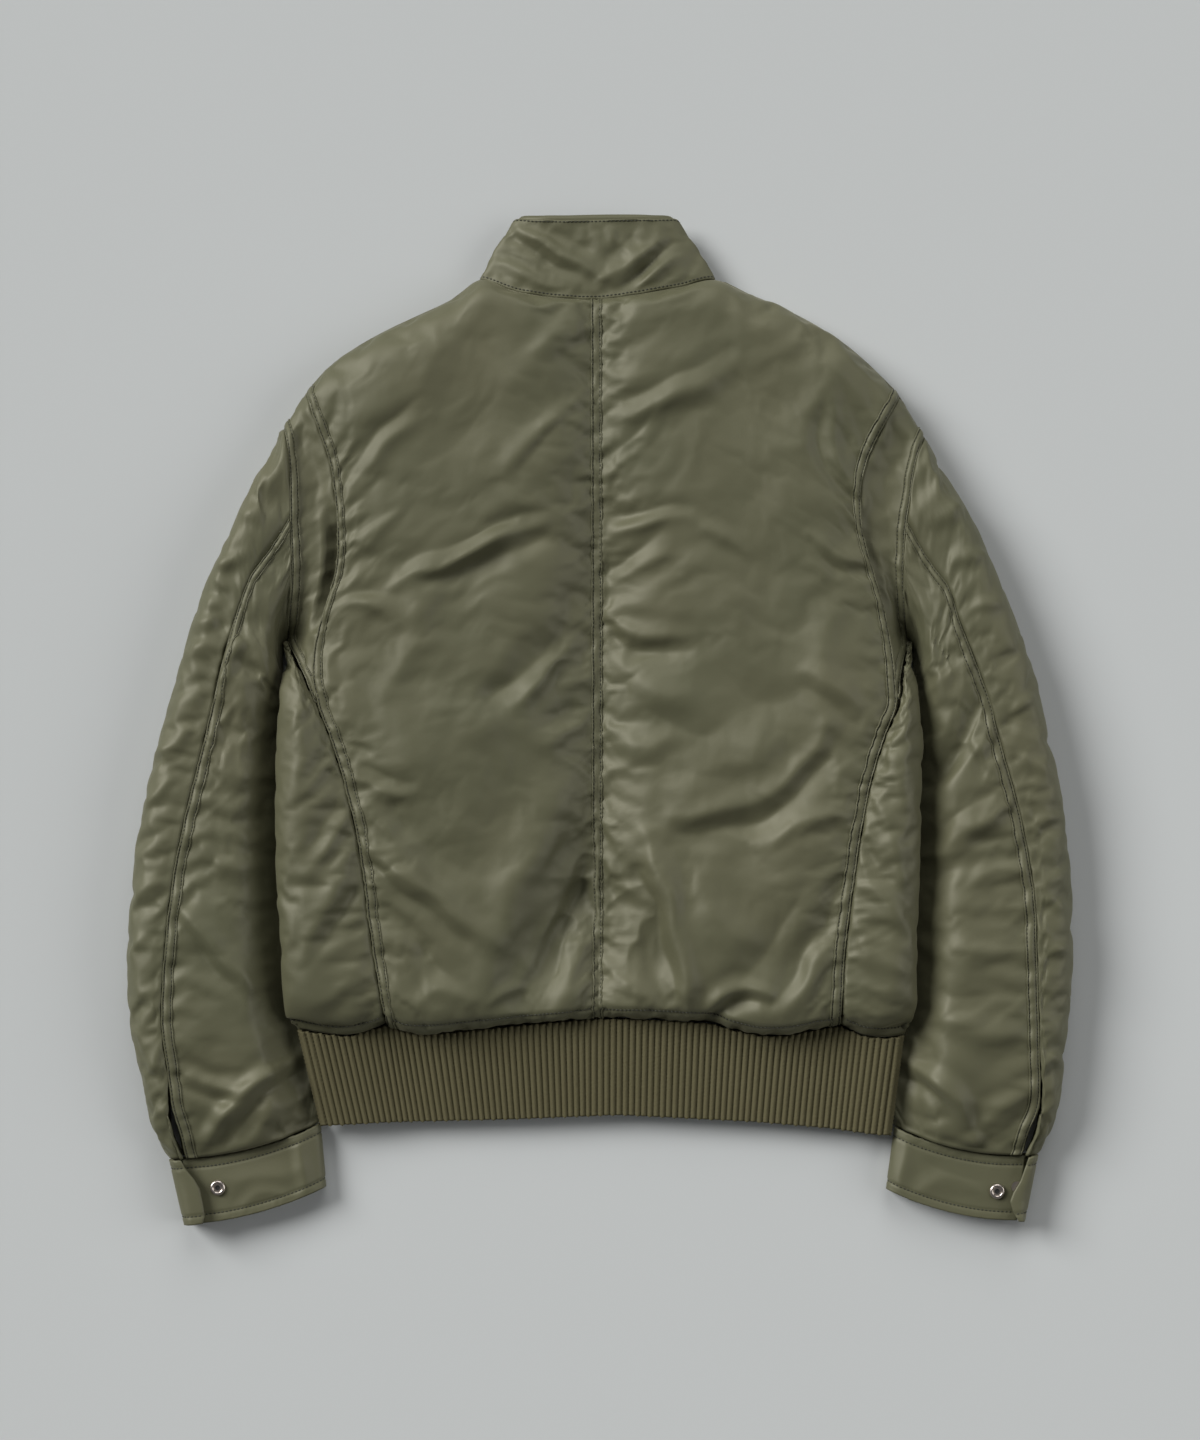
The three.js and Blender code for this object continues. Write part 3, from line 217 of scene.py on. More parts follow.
# Creases and the cloth's own settling
# Creases read off the photograph: start, middle and end in its pixels, half width and height
# in millimetres. Troughs have a negative height.
PIXEL = 0.82 * MM
PHOTO_CENTRE = (600.5, 719.0)
CREASES = {
    "left": [
        (548, 520, 470, 552, 393, 584, 7, 4.0), (545, 536, 480, 563, 425, 582, 7, -3.0),
        (552, 508, 480, 532, 405, 566, 8, -3.0),
        (583, 412, 545, 440, 520, 474, 7, -2.6), (590, 398, 550, 425, 512, 466, 9, 2.4),
        (560, 630, 530, 662, 498, 692, 9, -3.4), (574, 640, 545, 672, 515, 706, 8, 3.0),
        (347, 478, 378, 432, 422, 398, 6, -2.2), (352, 492, 385, 448, 430, 418, 7, 2.0),
        (350, 537, 360, 528, 373, 518, 4, -1.8), (350, 553, 375, 536, 399, 512, 5, 2.0),
        (342, 602, 380, 588, 409, 604, 6, -2.2), (340, 614, 372, 604, 400, 622, 6, 2.0),
        (357, 744, 368, 752, 380, 756, 5, -2.0), (362, 776, 386, 786, 412, 800, 6, 2.4),
        (360, 764, 386, 772, 414, 784, 6, -2.0), (368, 805, 384, 824, 400, 848, 6, 2.2),
        (372, 843, 444, 900, 503, 948, 8, 3.6), (376, 862, 420, 902, 470, 938, 7, -3.0),
        (383, 915, 408, 950, 436, 986, 8, 2.6), (392, 905, 420, 944, 452, 980, 8, -2.4),
        (590, 838, 560, 906, 512, 1010, 10, 4.0), (594, 862, 574, 918, 538, 1000, 10, -4.6),
        (589, 706, 562, 714, 536, 728, 6, -2.0), (590, 722, 566, 730, 540, 744, 7, 2.0),
        (492, 997, 508, 990, 528, 988, 5, 2.4), (440, 706, 480, 720, 520, 716, 12, 2.0),
        (588, 330, 556, 338, 530, 352, 8, 2.0), (470, 330, 440, 360, 420, 402, 12, 2.2),
        (428, 640, 400, 668, 388, 704, 10, 2.4), (420, 1002, 440, 990, 470, 996, 7, 2.2),
        (586, 830, 566, 910, 522, 1000, 22, -8.5), (556, 800, 520, 880, 486, 960, 20, 4.5),
        (574, 596, 560, 660, 570, 740, 18, -5.5), (500, 700, 470, 760, 470, 840, 26, 4.0),
        (520, 660, 502, 690, 486, 706, 12, -3.6), (440, 560, 420, 610, 430, 660, 20, 3.5),
        (352, 420, 380, 400, 440, 330, 20, 3.5), (500, 380, 470, 430, 420, 470, 22, -3.5),
        (520, 560, 480, 580, 440, 620, 14, -3.0), (398, 800, 420, 840, 470, 870, 14, -3.5),
        (400, 700, 410, 740, 440, 770, 18, 3.5), (560, 330, 520, 380, 480, 400, 18, 2.5),
    ],
    "right": [
        (602, 401, 642, 392, 726, 350, 8, -2.8), (606, 418, 650, 408, 735, 368, 9, 2.6),
        (602, 456, 634, 436, 655, 408, 6, -2.2), (604, 476, 620, 466, 638, 456, 5, 2.0),
        (602, 518, 640, 510, 688, 506, 6, -2.4), (604, 530, 645, 524, 692, 518, 6, 2.2),
        (600, 569, 632, 557, 662, 532, 6, -2.4), (604, 582, 640, 570, 668, 548, 6, 2.2),
        (604, 626, 642, 650, 684, 651, 8, -3.0), (604, 610, 646, 634, 690, 636, 8, 2.6),
        (702, 520, 722, 536, 745, 552, 6, 2.0),
        (822, 400, 822, 452, 854, 506, 6, -2.4), (832, 404, 836, 452, 858, 490, 6, 2.2),
        (810, 535, 836, 552, 862, 562, 6, 2.2), (812, 548, 836, 566, 862, 576, 6, -2.0),
        (810, 673, 834, 686, 857, 703, 8, 3.2), (806, 688, 830, 700, 850, 718, 8, -2.4),
        (672, 812, 762, 796, 826, 728, 9, 4.4), (680, 830, 764, 814, 832, 748, 9, -3.8),
        (640, 826, 668, 900, 687, 1008, 9, 4.4), (640, 870, 658, 930, 676, 1012, 9, -4.6),
        (697, 1016, 724, 990, 768, 992, 6, 4.0), (704, 1022, 730, 1002, 768, 1004, 6, -3.4),
        (772, 1000, 806, 950, 842, 884, 9, -3.6), (786, 1006, 820, 956, 852, 896, 8, 3.0),
        (777, 837, 812, 818, 855, 806, 6, 2.2), (604, 862, 624, 880, 648, 906, 6, 2.4),
        (606, 959, 628, 978, 655, 1003, 6, 2.4), (604, 720, 636, 742, 668, 738, 9, 2.4),
        (700, 900, 730, 930, 768, 938, 12, 2.4), (690, 560, 730, 600, 742, 660, 14, 2.6),
        (612, 850, 636, 920, 660, 1000, 20, -5.5), (690, 840, 712, 920, 720, 990, 24, 5.0),
        (770, 830, 790, 900, 800, 960, 24, 4.0), (800, 880, 780, 930, 740, 985, 14, -4.0),
        (640, 700, 680, 730, 720, 726, 14, -3.5), (620, 660, 650, 690, 690, 690, 14, 3.5),
        (760, 440, 800, 500, 820, 580, 24, 3.5), (700, 330, 740, 380, 790, 400, 22, -2.8),
        (700, 640, 740, 690, 790, 700, 20, -3.5), (840, 600, 820, 660, 830, 720, 14, 3.2),
        (660, 780, 690, 770, 730, 780, 14, -3.5), (850, 360, 820, 400, 800, 450, 16, 3.0),
    ],
    "left_side": [
        (334, 750, 322, 770, 309, 790, 6, 2.6), (350, 806, 336, 836, 311, 868, 7, 2.8),
        (344, 796, 326, 824, 305, 850, 6, -2.2), (360, 834, 340, 884, 307, 936, 7, 2.8),
        (366, 868, 340, 922, 306, 968, 7, -2.4), (300, 700, 306, 740, 300, 800, 9, 2.4),
        (372, 940, 346, 980, 312, 1002, 8, 2.4), (290, 860, 300, 900, 296, 960, 8, -2.0),
    ],
    "right_side": [
        (868, 790, 888, 830, 900, 880, 7, 2.6), (858, 850, 880, 896, 902, 930, 7, 2.6),
        (862, 838, 886, 880, 908, 906, 6, -2.4), (848, 920, 872, 952, 904, 972, 7, 2.4),
        (900, 720, 896, 770, 902, 820, 9, 2.2), (842, 965, 868, 992, 900, 1006, 6, -2.2),
    ],
    "left_sleeve": [
        (222, 684, 244, 640, 272, 676, 9, 4.2), (216, 578, 230, 586, 246, 587, 6, 2.4),
        (192, 624, 208, 624, 228, 618, 5, 2.0), (173, 902, 210, 936, 252, 983, 8, 3.6),
        (176, 920, 208, 956, 244, 1000, 8, -3.0), (168, 1062, 215, 1084, 252, 1080, 6, 3.0),
        (172, 1078, 212, 1098, 250, 1094, 6, -2.6), (208, 1148, 240, 1098, 304, 1050, 7, 5.0),
        (222, 1150, 256, 1108, 306, 1066, 7, -4.2), (286, 1108, 298, 1098, 311, 1088, 5, 2.4),
        (216, 740, 240, 770, 268, 776, 9, 3.0), (206, 800, 232, 820, 266, 816, 8, -2.6),
        (196, 838, 224, 862, 262, 860, 8, 3.0), (250, 650, 268, 700, 272, 760, 10, -3.0),
        (140, 800, 158, 792, 176, 776, 5, 2.4), (136, 846, 150, 836, 170, 826, 5, -2.2),
        (132, 900, 146, 886, 164, 878, 5, 2.4), (131, 960, 142, 940, 156, 930, 5, 2.2),
        (134, 1020, 144, 1006, 154, 996, 5, -2.2), (150, 750, 170, 744, 192, 730, 5, 2.2),
        (166, 700, 184, 692, 206, 676, 5, -2.2), (176, 660, 196, 650, 218, 646, 5, 2.2),
        (196, 596, 214, 590, 238, 590, 5, -2.0), (212, 560, 230, 560, 252, 552, 5, 2.2),
        (236, 512, 256, 512, 276, 520, 5, 2.0), (258, 480, 270, 500, 284, 510, 6, -2.0),
        (150, 1070, 156, 1060, 164, 1046, 5, 2.2),
    ],
    "right_sleeve": [
        (920, 798, 950, 758, 980, 708, 9, -4.4), (930, 800, 962, 764, 990, 724, 8, 3.6),
        (936, 832, 970, 804, 1005, 776, 8, -3.8), (940, 846, 974, 822, 1010, 796, 8, 3.4),
        (920, 856, 954, 850, 990, 852, 7, 3.0), (972, 886, 998, 868, 1028, 867, 6, 2.8),
        (1012, 746, 1030, 760, 1048, 776, 5, 2.4), (1032, 824, 1048, 818, 1066, 814, 5, 2.4),
        (1042, 898, 1054, 902, 1066, 906, 5, 2.2), (902, 1056, 950, 1094, 976, 1140, 7, 4.6),
        (898, 1078, 930, 1090, 954, 1122, 7, -4.0), (964, 1139, 980, 1146, 995, 1154, 5, 2.4),
        (1036, 1085, 1006, 1104, 974, 1144, 7, 3.4), (926, 940, 964, 950, 1010, 940, 9, 2.8),
        (930, 980, 970, 996, 1020, 984, 9, -2.8), (940, 1010, 980, 1030, 1024, 1024, 9, 3.0),
        (918, 700, 926, 740, 922, 790, 9, 3.0), (926, 620, 944, 650, 950, 690, 8, -2.8),
        (1006, 600, 990, 604, 970, 612, 5, 2.2), (1020, 650, 1004, 652, 986, 664, 5, -2.2),
        (988, 552, 972, 556, 950, 566, 5, 2.2), (1034, 700, 1018, 706, 1000, 712, 5, 2.2),
        (1068, 860, 1054, 868, 1042, 866, 5, -2.2), (1070, 950, 1058, 946, 1046, 952, 5, 2.2),
        (1066, 1010, 1056, 1014, 1046, 1008, 5, -2.2), (1062, 1060, 1054, 1054, 1046, 1060, 5, 2.2),
        (962, 500, 944, 512, 926, 524, 6, 2.2),
    ],
    "collar": [
        (518, 226, 560, 250, 604, 279, 6, 3.6), (514, 240, 540, 254, 576, 270, 6, -3.0),
        (664, 240, 632, 258, 604, 282, 6, 3.4), (684, 256, 660, 270, 640, 287, 5, 2.6),
        (674, 244, 650, 262, 622, 286, 5, -3.0), (610, 228, 622, 244, 640, 248, 6, 2.4),
        (505, 262, 530, 276, 560, 286, 5, 2.4), (545, 228, 575, 240, 600, 258, 6, -2.4),
        (640, 226, 622, 240, 606, 256, 6, -2.2), (500, 250, 520, 262, 548, 274, 5, -2.2),
    ],
    "left_cuff": [
        (302, 1128, 301, 1160, 303, 1202, 5, 1.8), (212, 1172, 250, 1182, 300, 1166, 8, 1.4),
        (240, 1208, 262, 1196, 290, 1196, 5, 1.2),
    ],
    "right_cuff": [
        (906, 1146, 903, 1176, 904, 1204, 5, 1.8), (920, 1190, 950, 1180, 985, 1192, 8, 1.4),
        (930, 1162, 950, 1176, 980, 1180, 6, -1.2),
    ],
}
CURVE_PARTS = 10
# How a crease runs out: height at its ends, narrowing there, fall of ridges and troughs, rim beside it
CREASE = {"ends": 0.1, "narrowing": 0.45, "ridge": 1.8, "trough": 1.3, "rim": 0.25, "rim_at": 2}


def on_jacket(px, py):
    """A pixel of the photograph as a place on the floor under the jacket."""
    return np.array([(px - PHOTO_CENTRE[0]) * PIXEL, (PHOTO_CENTRE[1] - py) * PIXEL])


def nearest_on(line, place):
    """How far each place lies from a line of points, and how far along the line that is."""
    near = np.full(place.shape[:2], 1e9)
    share = np.zeros(place.shape[:2])
    for k, (a, b) in enumerate(zip(line[:-1], line[1:])):
        step = b - a
        t = np.clip(((place - a) * step).sum(axis=2) / (step @ step), 0, 1)
        gap = np.linalg.norm(place - a - t[..., None] * step, axis=2)
        share = np.where(gap < near, (k + t) / (len(line) - 1), share)
        near = np.minimum(near, gap)
    return near, share


WAVER = {"size": 2.0 * MM, "turns": 90.0}
FACING = 1.4  # creases have their full height up to the slope where this times the normal's z is 1


def wavered(place):
    """Places moved a little to and fro, so that creases run unevenly."""
    x, y = place[..., 0] * WAVER["turns"], place[..., 1] * WAVER["turns"]
    to_and_fro = [np.sin(y + 1.7 * np.sin(0.8 * x)), np.sin(1.1 * x + 1.3 * np.sin(0.7 * y))]
    return place[..., :2] + WAVER["size"] * np.stack(to_and_fro, axis=-1)


def creased(skin, creases):
    """Raises and sinks a skin along its creases, where it faces up. Troughs are the sharper."""
    normals = skin.normals()
    place = wavered(skin.grid)
    lift = np.zeros(place.shape[:2])
    for x0, y0, xm, ym, x1, y1, wide, high in creases:
        start, middle, end = on_jacket(x0, y0), on_jacket(xm, ym), on_jacket(x1, y1)
        bend = 2 * middle - (start + end) / 2
        line = [(1 - t) ** 2 * start + 2 * t * (1 - t) * bend + t**2 * end
                for t in np.linspace(0, 1, CURVE_PARTS)]
        near, share = nearest_on(line, place)
        taper = np.sin(np.pi * (CREASE["ends"] + (1 - 2 * CREASE["ends"]) * share))
        reach = near / (wide * MM * (1 - CREASE["narrowing"] * (1 - taper)))
        fall = CREASE["ridge"] if high > 0 else CREASE["trough"]
        rim = CREASE["rim"] * np.exp(-((reach - CREASE["rim_at"]) ** 2))
        lift += high * MM * taper * (np.exp(-reach**fall) - rim)
    facing = np.clip(normals[..., 2] * FACING, 0, 1)
    skin.grid = skin.grid + normals * (lift * facing * edge_fade(skin.grid))[..., None]
    return skin


# The middle of the back sinks toward its seam: top and foot of the dip, its depth and half width
SEAM_DIP = {"top": 0.22, "foot": -0.245, "soft": 0.11, "foot_soft": 0.05,
            "deep": 9 * MM, "wide": 32 * MM}


def sunk_to_seam(skin):
    """Sinks a back panel toward the centre back seam, most below the shoulder blades."""
    x, y = skin.grid[..., 0], skin.grid[..., 1]
    window = (np.clip((SEAM_DIP["top"] - y) / SEAM_DIP["soft"], 0, 1)
              * np.clip((y - SEAM_DIP["foot"]) / SEAM_DIP["foot_soft"], 0, 1))
    window = window * window * (3 - 2 * window)
    skin.grid[..., 2] -= SEAM_DIP["deep"] * window * np.exp(-((x / SEAM_DIP["wide"]) ** 2))
    return skin


def edge_fade(grid, reach=9 * MM):
    """0 at a panel's edges, 1 further in."""
    across, along = across_of(grid), along_of(grid)
    gap = np.minimum(np.minimum(across, across[:, -1:] - across),
                     np.minimum(along, along[-1:] - along))
    return np.clip(gap / reach, 0, 1) ** 0.7


def blurred(values, times):
    """A grid of values, each blended with its neighbours again and again."""
    for _ in range(times):
        v = np.pad(values, 1, mode="edge")
        values = (2 * v[1:-1, 1:-1] + v[:-2, 1:-1] + v[2:, 1:-1] + v[1:-1, :-2] + v[1:-1, 2:]) / 6
    return values


# The cloth while it settles, in the terms of Blender's cloth, and what is kept of its moves
SETTLING = {"frames": 14, "quality": 6, "mass": 0.15, "stretch": 15, "shear": 5, "bend": 0.2,
            "air": 2, "rough": 0.5 * MM, "smoothing": 3}
CALM = 0.3  # the share of the wrinkles left far from the seams
CALM_FROM = 55 * MM
KEPT_BULGE = 0.15  # the share of the broad swelling that is kept
BROAD = 60  # rounds of blending after which only the broad swelling is left
KEPT_SLIDE = 0.5
SEWN_FADE = 4 * MM


def pinned(obj, rows, columns, hold):
    """Pins the sewn edges fast and the rest a little, as the padding does."""
    group = obj.vertex_groups.new(name="sewn")
    sewn = np.zeros((rows, columns), dtype=bool)
    sewn[0] = sewn[-1] = sewn[:, 0] = sewn[:, -1] = True
    group.add([int(i) for i in np.flatnonzero(sewn)], 1.0, "REPLACE")
    group.add([int(i) for i in np.flatnonzero(~sewn)], hold, "REPLACE")
    return group.name


def made_cloth(obj, pins, surplus, pressure):
    """Light cloth that is cut larger than it lies, pressed out from inside, with no weight."""
    modifier = obj.modifiers.new("settling", "CLOTH")
    values = modifier.settings
    values.quality = SETTLING["quality"]
    values.mass = SETTLING["mass"]
    values.tension_stiffness = values.compression_stiffness = SETTLING["stretch"]
    values.shear_stiffness = SETTLING["shear"]
    values.bending_stiffness = SETTLING["bend"]
    values.air_damping = SETTLING["air"]
    values.vertex_group_mass = pins
    values.pin_stiffness = 1
    values.effector_weights.gravity = 0
    values.shrink_min = values.shrink_max = -surplus
    values.use_pressure = True
    values.uniform_pressure_force = pressure
    modifier.collision_settings.use_collision = False
    modifier.point_cache.frame_end = SETTLING["frames"]


def points_after_settling(obj):
    """Runs the cloth, reads off where its points came to lie, and removes the object."""
    for number in range(1, SETTLING["frames"] + 1):
        scene.frame_set(number)
    shaped = obj.evaluated_get(bpy.context.evaluated_depsgraph_get()).to_mesh()
    points = np.zeros(len(shaped.vertices) * 3, dtype=np.float32)
    shaped.vertices.foreach_get("co", points)
    bpy.data.objects.remove(obj)
    return points.astype(float)


def settled(skin, seed, surplus=0.026, pressure=1.8, hold=0.006, limit=5 * MM, calm=CALM):
    """Cloth a little larger than its panel, sewn down at the panel's edges over soft padding.
    It puckers at the seams and wrinkles between them."""
    base, normals = skin.grid, skin.normals()
    rows, columns = base.shape[:2]
    rough = blurred(np.random.default_rng(seed).normal(size=(rows, columns)), SETTLING["smoothing"])
    rough *= SETTLING["rough"] / rough.std() * (edge_fade(base) > 0)
    start = base + normals * rough[..., None]
    faces = grid_faces(rows, columns, skin.turn < 0)
    obj = mesh_object(f"settling_{seed}", start.reshape(-1, 3), faces, nylon)
    made_cloth(obj, pinned(obj, rows, columns, hold), surplus, pressure)
    move = points_after_settling(obj).reshape(rows, columns, 3) - base
    lift = (move * normals).sum(axis=2)
    slide = move - normals * lift[..., None]
    lift = lift - (1 - KEPT_BULGE) * blurred(lift, BROAD)
    fade = edge_fade(base, SEWN_FADE)
    kept = calm + (1 - calm) * (1 - edge_fade(base, CALM_FROM))
    lift = np.clip(lift, -limit, limit) * fade * kept
    skin.grid = base + normals * lift[..., None] + KEPT_SLIDE * slide * fade[..., None]
    return skin


def edge_gaps(grid):
    """For each edge, how far in each point lies and how far along the edge."""
    across, along = across_of(grid), along_of(grid)
    return {"first": (across, along), "last": (across[:, -1:] - across, along),
            "low": (along, across), "high": (along[-1:] - along, across)}


PUCKER = {"apart": 8 * MM, "high": 2.1 * MM, "long": 15 * MM, "from": 1.5 * MM, "slant": 0.9,
          "uneven": 0.3, "base": 0.6, "fall": 1.3}
PUCKER_SPREAD = {"strength": (0.1, 1.0), "turn": (-1, 1), "reach": (0.5, 1.6)}
PAST_END = 0.2  # how far the marks of the puckers run on past an edge


def puckered(skin, edges, seed, high=PUCKER["high"], apart=PUCKER["apart"], long=PUCKER["long"]):
    """Short wrinkles that run in from a sewn edge, uneven in spacing, length and slant.
    They are soft ridges with sharp troughs between them."""
    random = np.random.default_rng(seed)
    normals = skin.normals()
    for edge in edges:
        inward, travel = edge_gaps(skin.grid)[edge]
        marks = np.arange(0, travel.max() + PAST_END, apart)
        strength, turn, reach = (random.uniform(low, top, len(marks))
                                 for low, top in PUCKER_SPREAD.values())
        shifts = random.uniform(-PUCKER["uneven"], PUCKER["uneven"], len(marks)) * apart
        slanted = travel + inward * PUCKER["slant"] * np.interp(travel, marks, blurred_line(turn))
        up_and_down = strength * np.where(np.arange(len(marks)) % 2, 1, -1)
        ridge = np.sqrt(np.abs(np.interp(slanted, marks + shifts, up_and_down))) - PUCKER["base"]
        reached = long * np.interp(travel, marks, reach)
        fade = np.exp(-((inward / reached) ** PUCKER["fall"]))
        fade = fade * np.clip(inward / PUCKER["from"], 0, 1)
        skin.grid = skin.grid + normals * (high * ridge * fade)[..., None]
    return skin


def blurred_line(values):
    """Each value blended with the two on each side, and made up for the height it loses."""
    return np.convolve(np.pad(values, 2, mode="edge"), np.ones(5) / 5, mode="valid") * 2


def seam_dip(skin, edges, depth=1.3 * MM, reach=5 * MM):
    """Draws a skin down beside the named edges, where it is sewn."""
    gaps = {edge: pair[0] for edge, pair in edge_gaps(skin.grid).items()}
    normals = skin.normals()
    for edge in edges:
        sink = depth * np.clip(1 - gaps[edge] / reach, 0, 1) ** 2
        skin.grid = skin.grid - normals * sink[..., None]
    return skin


def grooved(skin, edge, distance, deep=1.4 * MM, wide=2.2 * MM):
    """Draws a skin down along a row of stitches, at a distance in from an edge."""
    gap = edge_gaps(skin.grid)[edge][0] - distance
    sink = deep * np.exp(-((gap / wide) ** 2))
    skin.grid = skin.grid - skin.normals() * sink[..., None]
    return skin


# Making meshes
def mesh_object(name, points, faces, material, uvs=None):
    mesh = bpy.data.meshes.new(name)
    mesh.from_pydata([tuple(p) for p in points], [], faces)
    if uvs is not None:
        layer = mesh.uv_layers.new(name="cut")
        corner = np.zeros(len(mesh.loops), dtype=int)
        mesh.loops.foreach_get("vertex_index", corner)
        layer.data.foreach_set("uv", np.asarray(uvs)[corner].astype(np.float32).ravel())
    mesh.polygons.foreach_set("use_smooth", [True] * len(mesh.polygons))
    mesh.validate()
    obj = bpy.data.objects.new(name, mesh)
    scene.collection.objects.link(obj)
    obj.data.materials.append(material)
    return obj


def grid_faces(rows, columns, flip, shift=0):
    base = np.arange(rows * columns).reshape(rows, columns) + shift
    a, b, c, d = base[:-1, :-1], base[:-1, 1:], base[1:, 1:], base[1:, :-1]
    quads = np.stack([a, b, c, d] if not flip else [d, c, b, a], axis=-1).reshape(-1, 4)
    return [tuple(int(v) for v in q) for q in quads]


def shell_mesh(name, skin, thickness, material):
    """A closed thin shell of cloth under a skin."""
    grid = skin.grid
    rows, columns = grid.shape[:2]
    inner = grid - skin.normals() * thickness
    points = np.concatenate([grid.reshape(-1, 3), inner.reshape(-1, 3)])
    flip = skin.turn < 0
    shift = rows * columns
    faces = grid_faces(rows, columns, flip) + grid_faces(rows, columns, not flip, shift)
    index = np.arange(shift).reshape(rows, columns)
    loop = [*index[0, :-1], *index[:-1, -1], *index[-1, :0:-1], *index[:0:-1, 0]]
    for i, a in enumerate(loop):
        b = loop[(i + 1) % len(loop)]
        quad = (int(b), int(a), int(a) + shift, int(b) + shift)
        faces.append(quad if not flip else quad[::-1])
    flat = np.stack([across_of(grid), along_of(grid)], axis=-1).reshape(-1, 2)
    return mesh_object(name, points, faces, material, uvs=np.concatenate([flat, flat]))


def cloth(name, skin, thickness, material, node=None):
    """A shell of cloth that stands for its node, whose frame part it hides."""
    skin.grid[..., 2] = np.maximum(skin.grid[..., 2], 0.0)
    obj = shell_mesh(name, skin, thickness, material)
    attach(obj, "root")
    if node:
        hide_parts(node)
    return obj


# Materials
def new_material(name, color, roughness, metallic=0.0):
    material = bpy.data.materials.new(name)
    material.use_nodes = True
    shader = material.node_tree.nodes["Principled BSDF"]
    shader.inputs["Base Color"].default_value = (*color, 1)
    shader.inputs["Roughness"].default_value = roughness
    shader.inputs["Metallic"].default_value = metallic
    return material


# Colour sockets of a Mix node: two that go in and one that comes out
MIX_DARK, MIX_LIGHT, MIX_RESULT = 6, 7, 2
# Inputs of the finish group, with the type of each
FINISH_INPUTS = {"Dark": "Color", "Light": "Color", "Patch Scale": "Float", "Coarse Scale": "Float",
                 "Coarse Height": "Float", "Fine Scale": "Float", "Fine Height": "Float"}


def noise_in(tree, place, scale):
    noise = tree.nodes.new("ShaderNodeTexNoise")
    noise.inputs["Detail"].default_value = 3
    tree.links.new(place, noise.inputs["Vector"])
    tree.links.new(scale, noise.inputs["Scale"])
    return noise.outputs["Fac"]


def finish_group():
    """Uneven colour in patches, and bumps of two sizes one over the other."""
    tree = bpy.data.node_groups.new("uneven_finish", "ShaderNodeTree")
    for name, kind in FINISH_INPUTS.items():
        tree.interface.new_socket(name=name, in_out="INPUT", socket_type=f"NodeSocket{kind}")
    tree.interface.new_socket(name="Color", in_out="OUTPUT", socket_type="NodeSocketColor")
    tree.interface.new_socket(name="Normal", in_out="OUTPUT", socket_type="NodeSocketVector")
    given = tree.nodes.new("NodeGroupInput").outputs
    result = tree.nodes.new("NodeGroupOutput").inputs
    place = tree.nodes.new("ShaderNodeTexCoord").outputs["Object"]
    blend = tree.nodes.new("ShaderNodeMix")
    blend.data_type = "RGBA"
    tree.links.new(noise_in(tree, place, given["Patch Scale"]), blend.inputs["Factor"])
    tree.links.new(given["Dark"], blend.inputs[MIX_DARK])
    tree.links.new(given["Light"], blend.inputs[MIX_LIGHT])
    tree.links.new(blend.outputs[MIX_RESULT], result["Color"])
    coarse, fine_bump = tree.nodes.new("ShaderNodeBump"), tree.nodes.new("ShaderNodeBump")
    for bump, size in ((coarse, "Coarse"), (fine_bump, "Fine")):
        bump.inputs["Strength"].default_value = 1
        tree.links.new(noise_in(tree, place, given[f"{size} Scale"]), bump.inputs["Height"])
        tree.links.new(given[f"{size} Height"], bump.inputs["Distance"])
    tree.links.new(coarse.outputs["Normal"], fine_bump.inputs["Normal"])
    tree.links.new(fine_bump.outputs["Normal"], result["Normal"])
    return tree


FINISH = finish_group()


def finished(name, dark, light, roughness, grains, metallic=0.0, patches=9.0):
    """A material with the finish group. Grains are (scale, height in metres), coarse then fine."""
    material = new_material(name, dark, roughness, metallic)
    tree = material.node_tree
    shader = tree.nodes["Principled BSDF"]
    finish = tree.nodes.new("ShaderNodeGroup")
    finish.node_tree = FINISH
    finish.inputs["Dark"].default_value = (*dark, 1)
    finish.inputs["Light"].default_value = (*light, 1)
    finish.inputs["Patch Scale"].default_value = patches
    for size, (scale, height) in zip(("Coarse", "Fine"), grains):
        finish.inputs[f"{size} Scale"].default_value = scale
        finish.inputs[f"{size} Height"].default_value = height
    tree.links.new(finish.outputs["Color"], shader.inputs["Base Color"])
    tree.links.new(finish.outputs["Normal"], shader.inputs["Normal"])
    return material


nylon = finished("nylon", (0.077, 0.08, 0.043), (0.108, 0.103, 0.058), 0.55,
                 [(60.0, 0.3 * MM), (1400.0, 0.05 * MM)])
satin = nylon.node_tree.nodes["Principled BSDF"].inputs
satin["Specular IOR Level"].default_value = 0.6
satin["Specular Tint"].default_value = (1.0, 0.96, 0.8, 1)
satin["Sheen Weight"].default_value = 0.12
satin["Sheen Roughness"].default_value = 0.4
satin["Sheen Tint"].default_value = (0.9, 0.86, 0.6, 1)
knit = finished("knit", (0.094, 0.084, 0.042), (0.12, 0.107, 0.056), 0.85,
                [(500.0, 0.5 * MM), (1600.0, 0.1 * MM)])
knit.node_tree.nodes["Principled BSDF"].inputs["Specular IOR Level"].default_value = 0.2
thread = finished("thread", (0.024, 0.025, 0.014), (0.034, 0.034, 0.02), 0.6,
                  [(900.0, 0.1 * MM), (2500.0, 0.05 * MM)])
tape = finished("zip_tape", (0.052, 0.054, 0.03), (0.068, 0.07, 0.04), 0.8,
                [(400.0, 0.1 * MM), (1500.0, 0.1 * MM)])
nickel = finished("nickel", (0.56, 0.49, 0.45), (0.68, 0.61, 0.55), 0.3,
                  [(300.0, 0.02 * MM), (2000.0, 0.004 * MM)], metallic=1.0, patches=200.0)
brass = finished("brass", (0.3, 0.25, 0.13), (0.38, 0.31, 0.17), 0.4,
                 [(300.0, 0.02 * MM), (2000.0, 0.004 * MM)], metallic=1.0, patches=200.0)
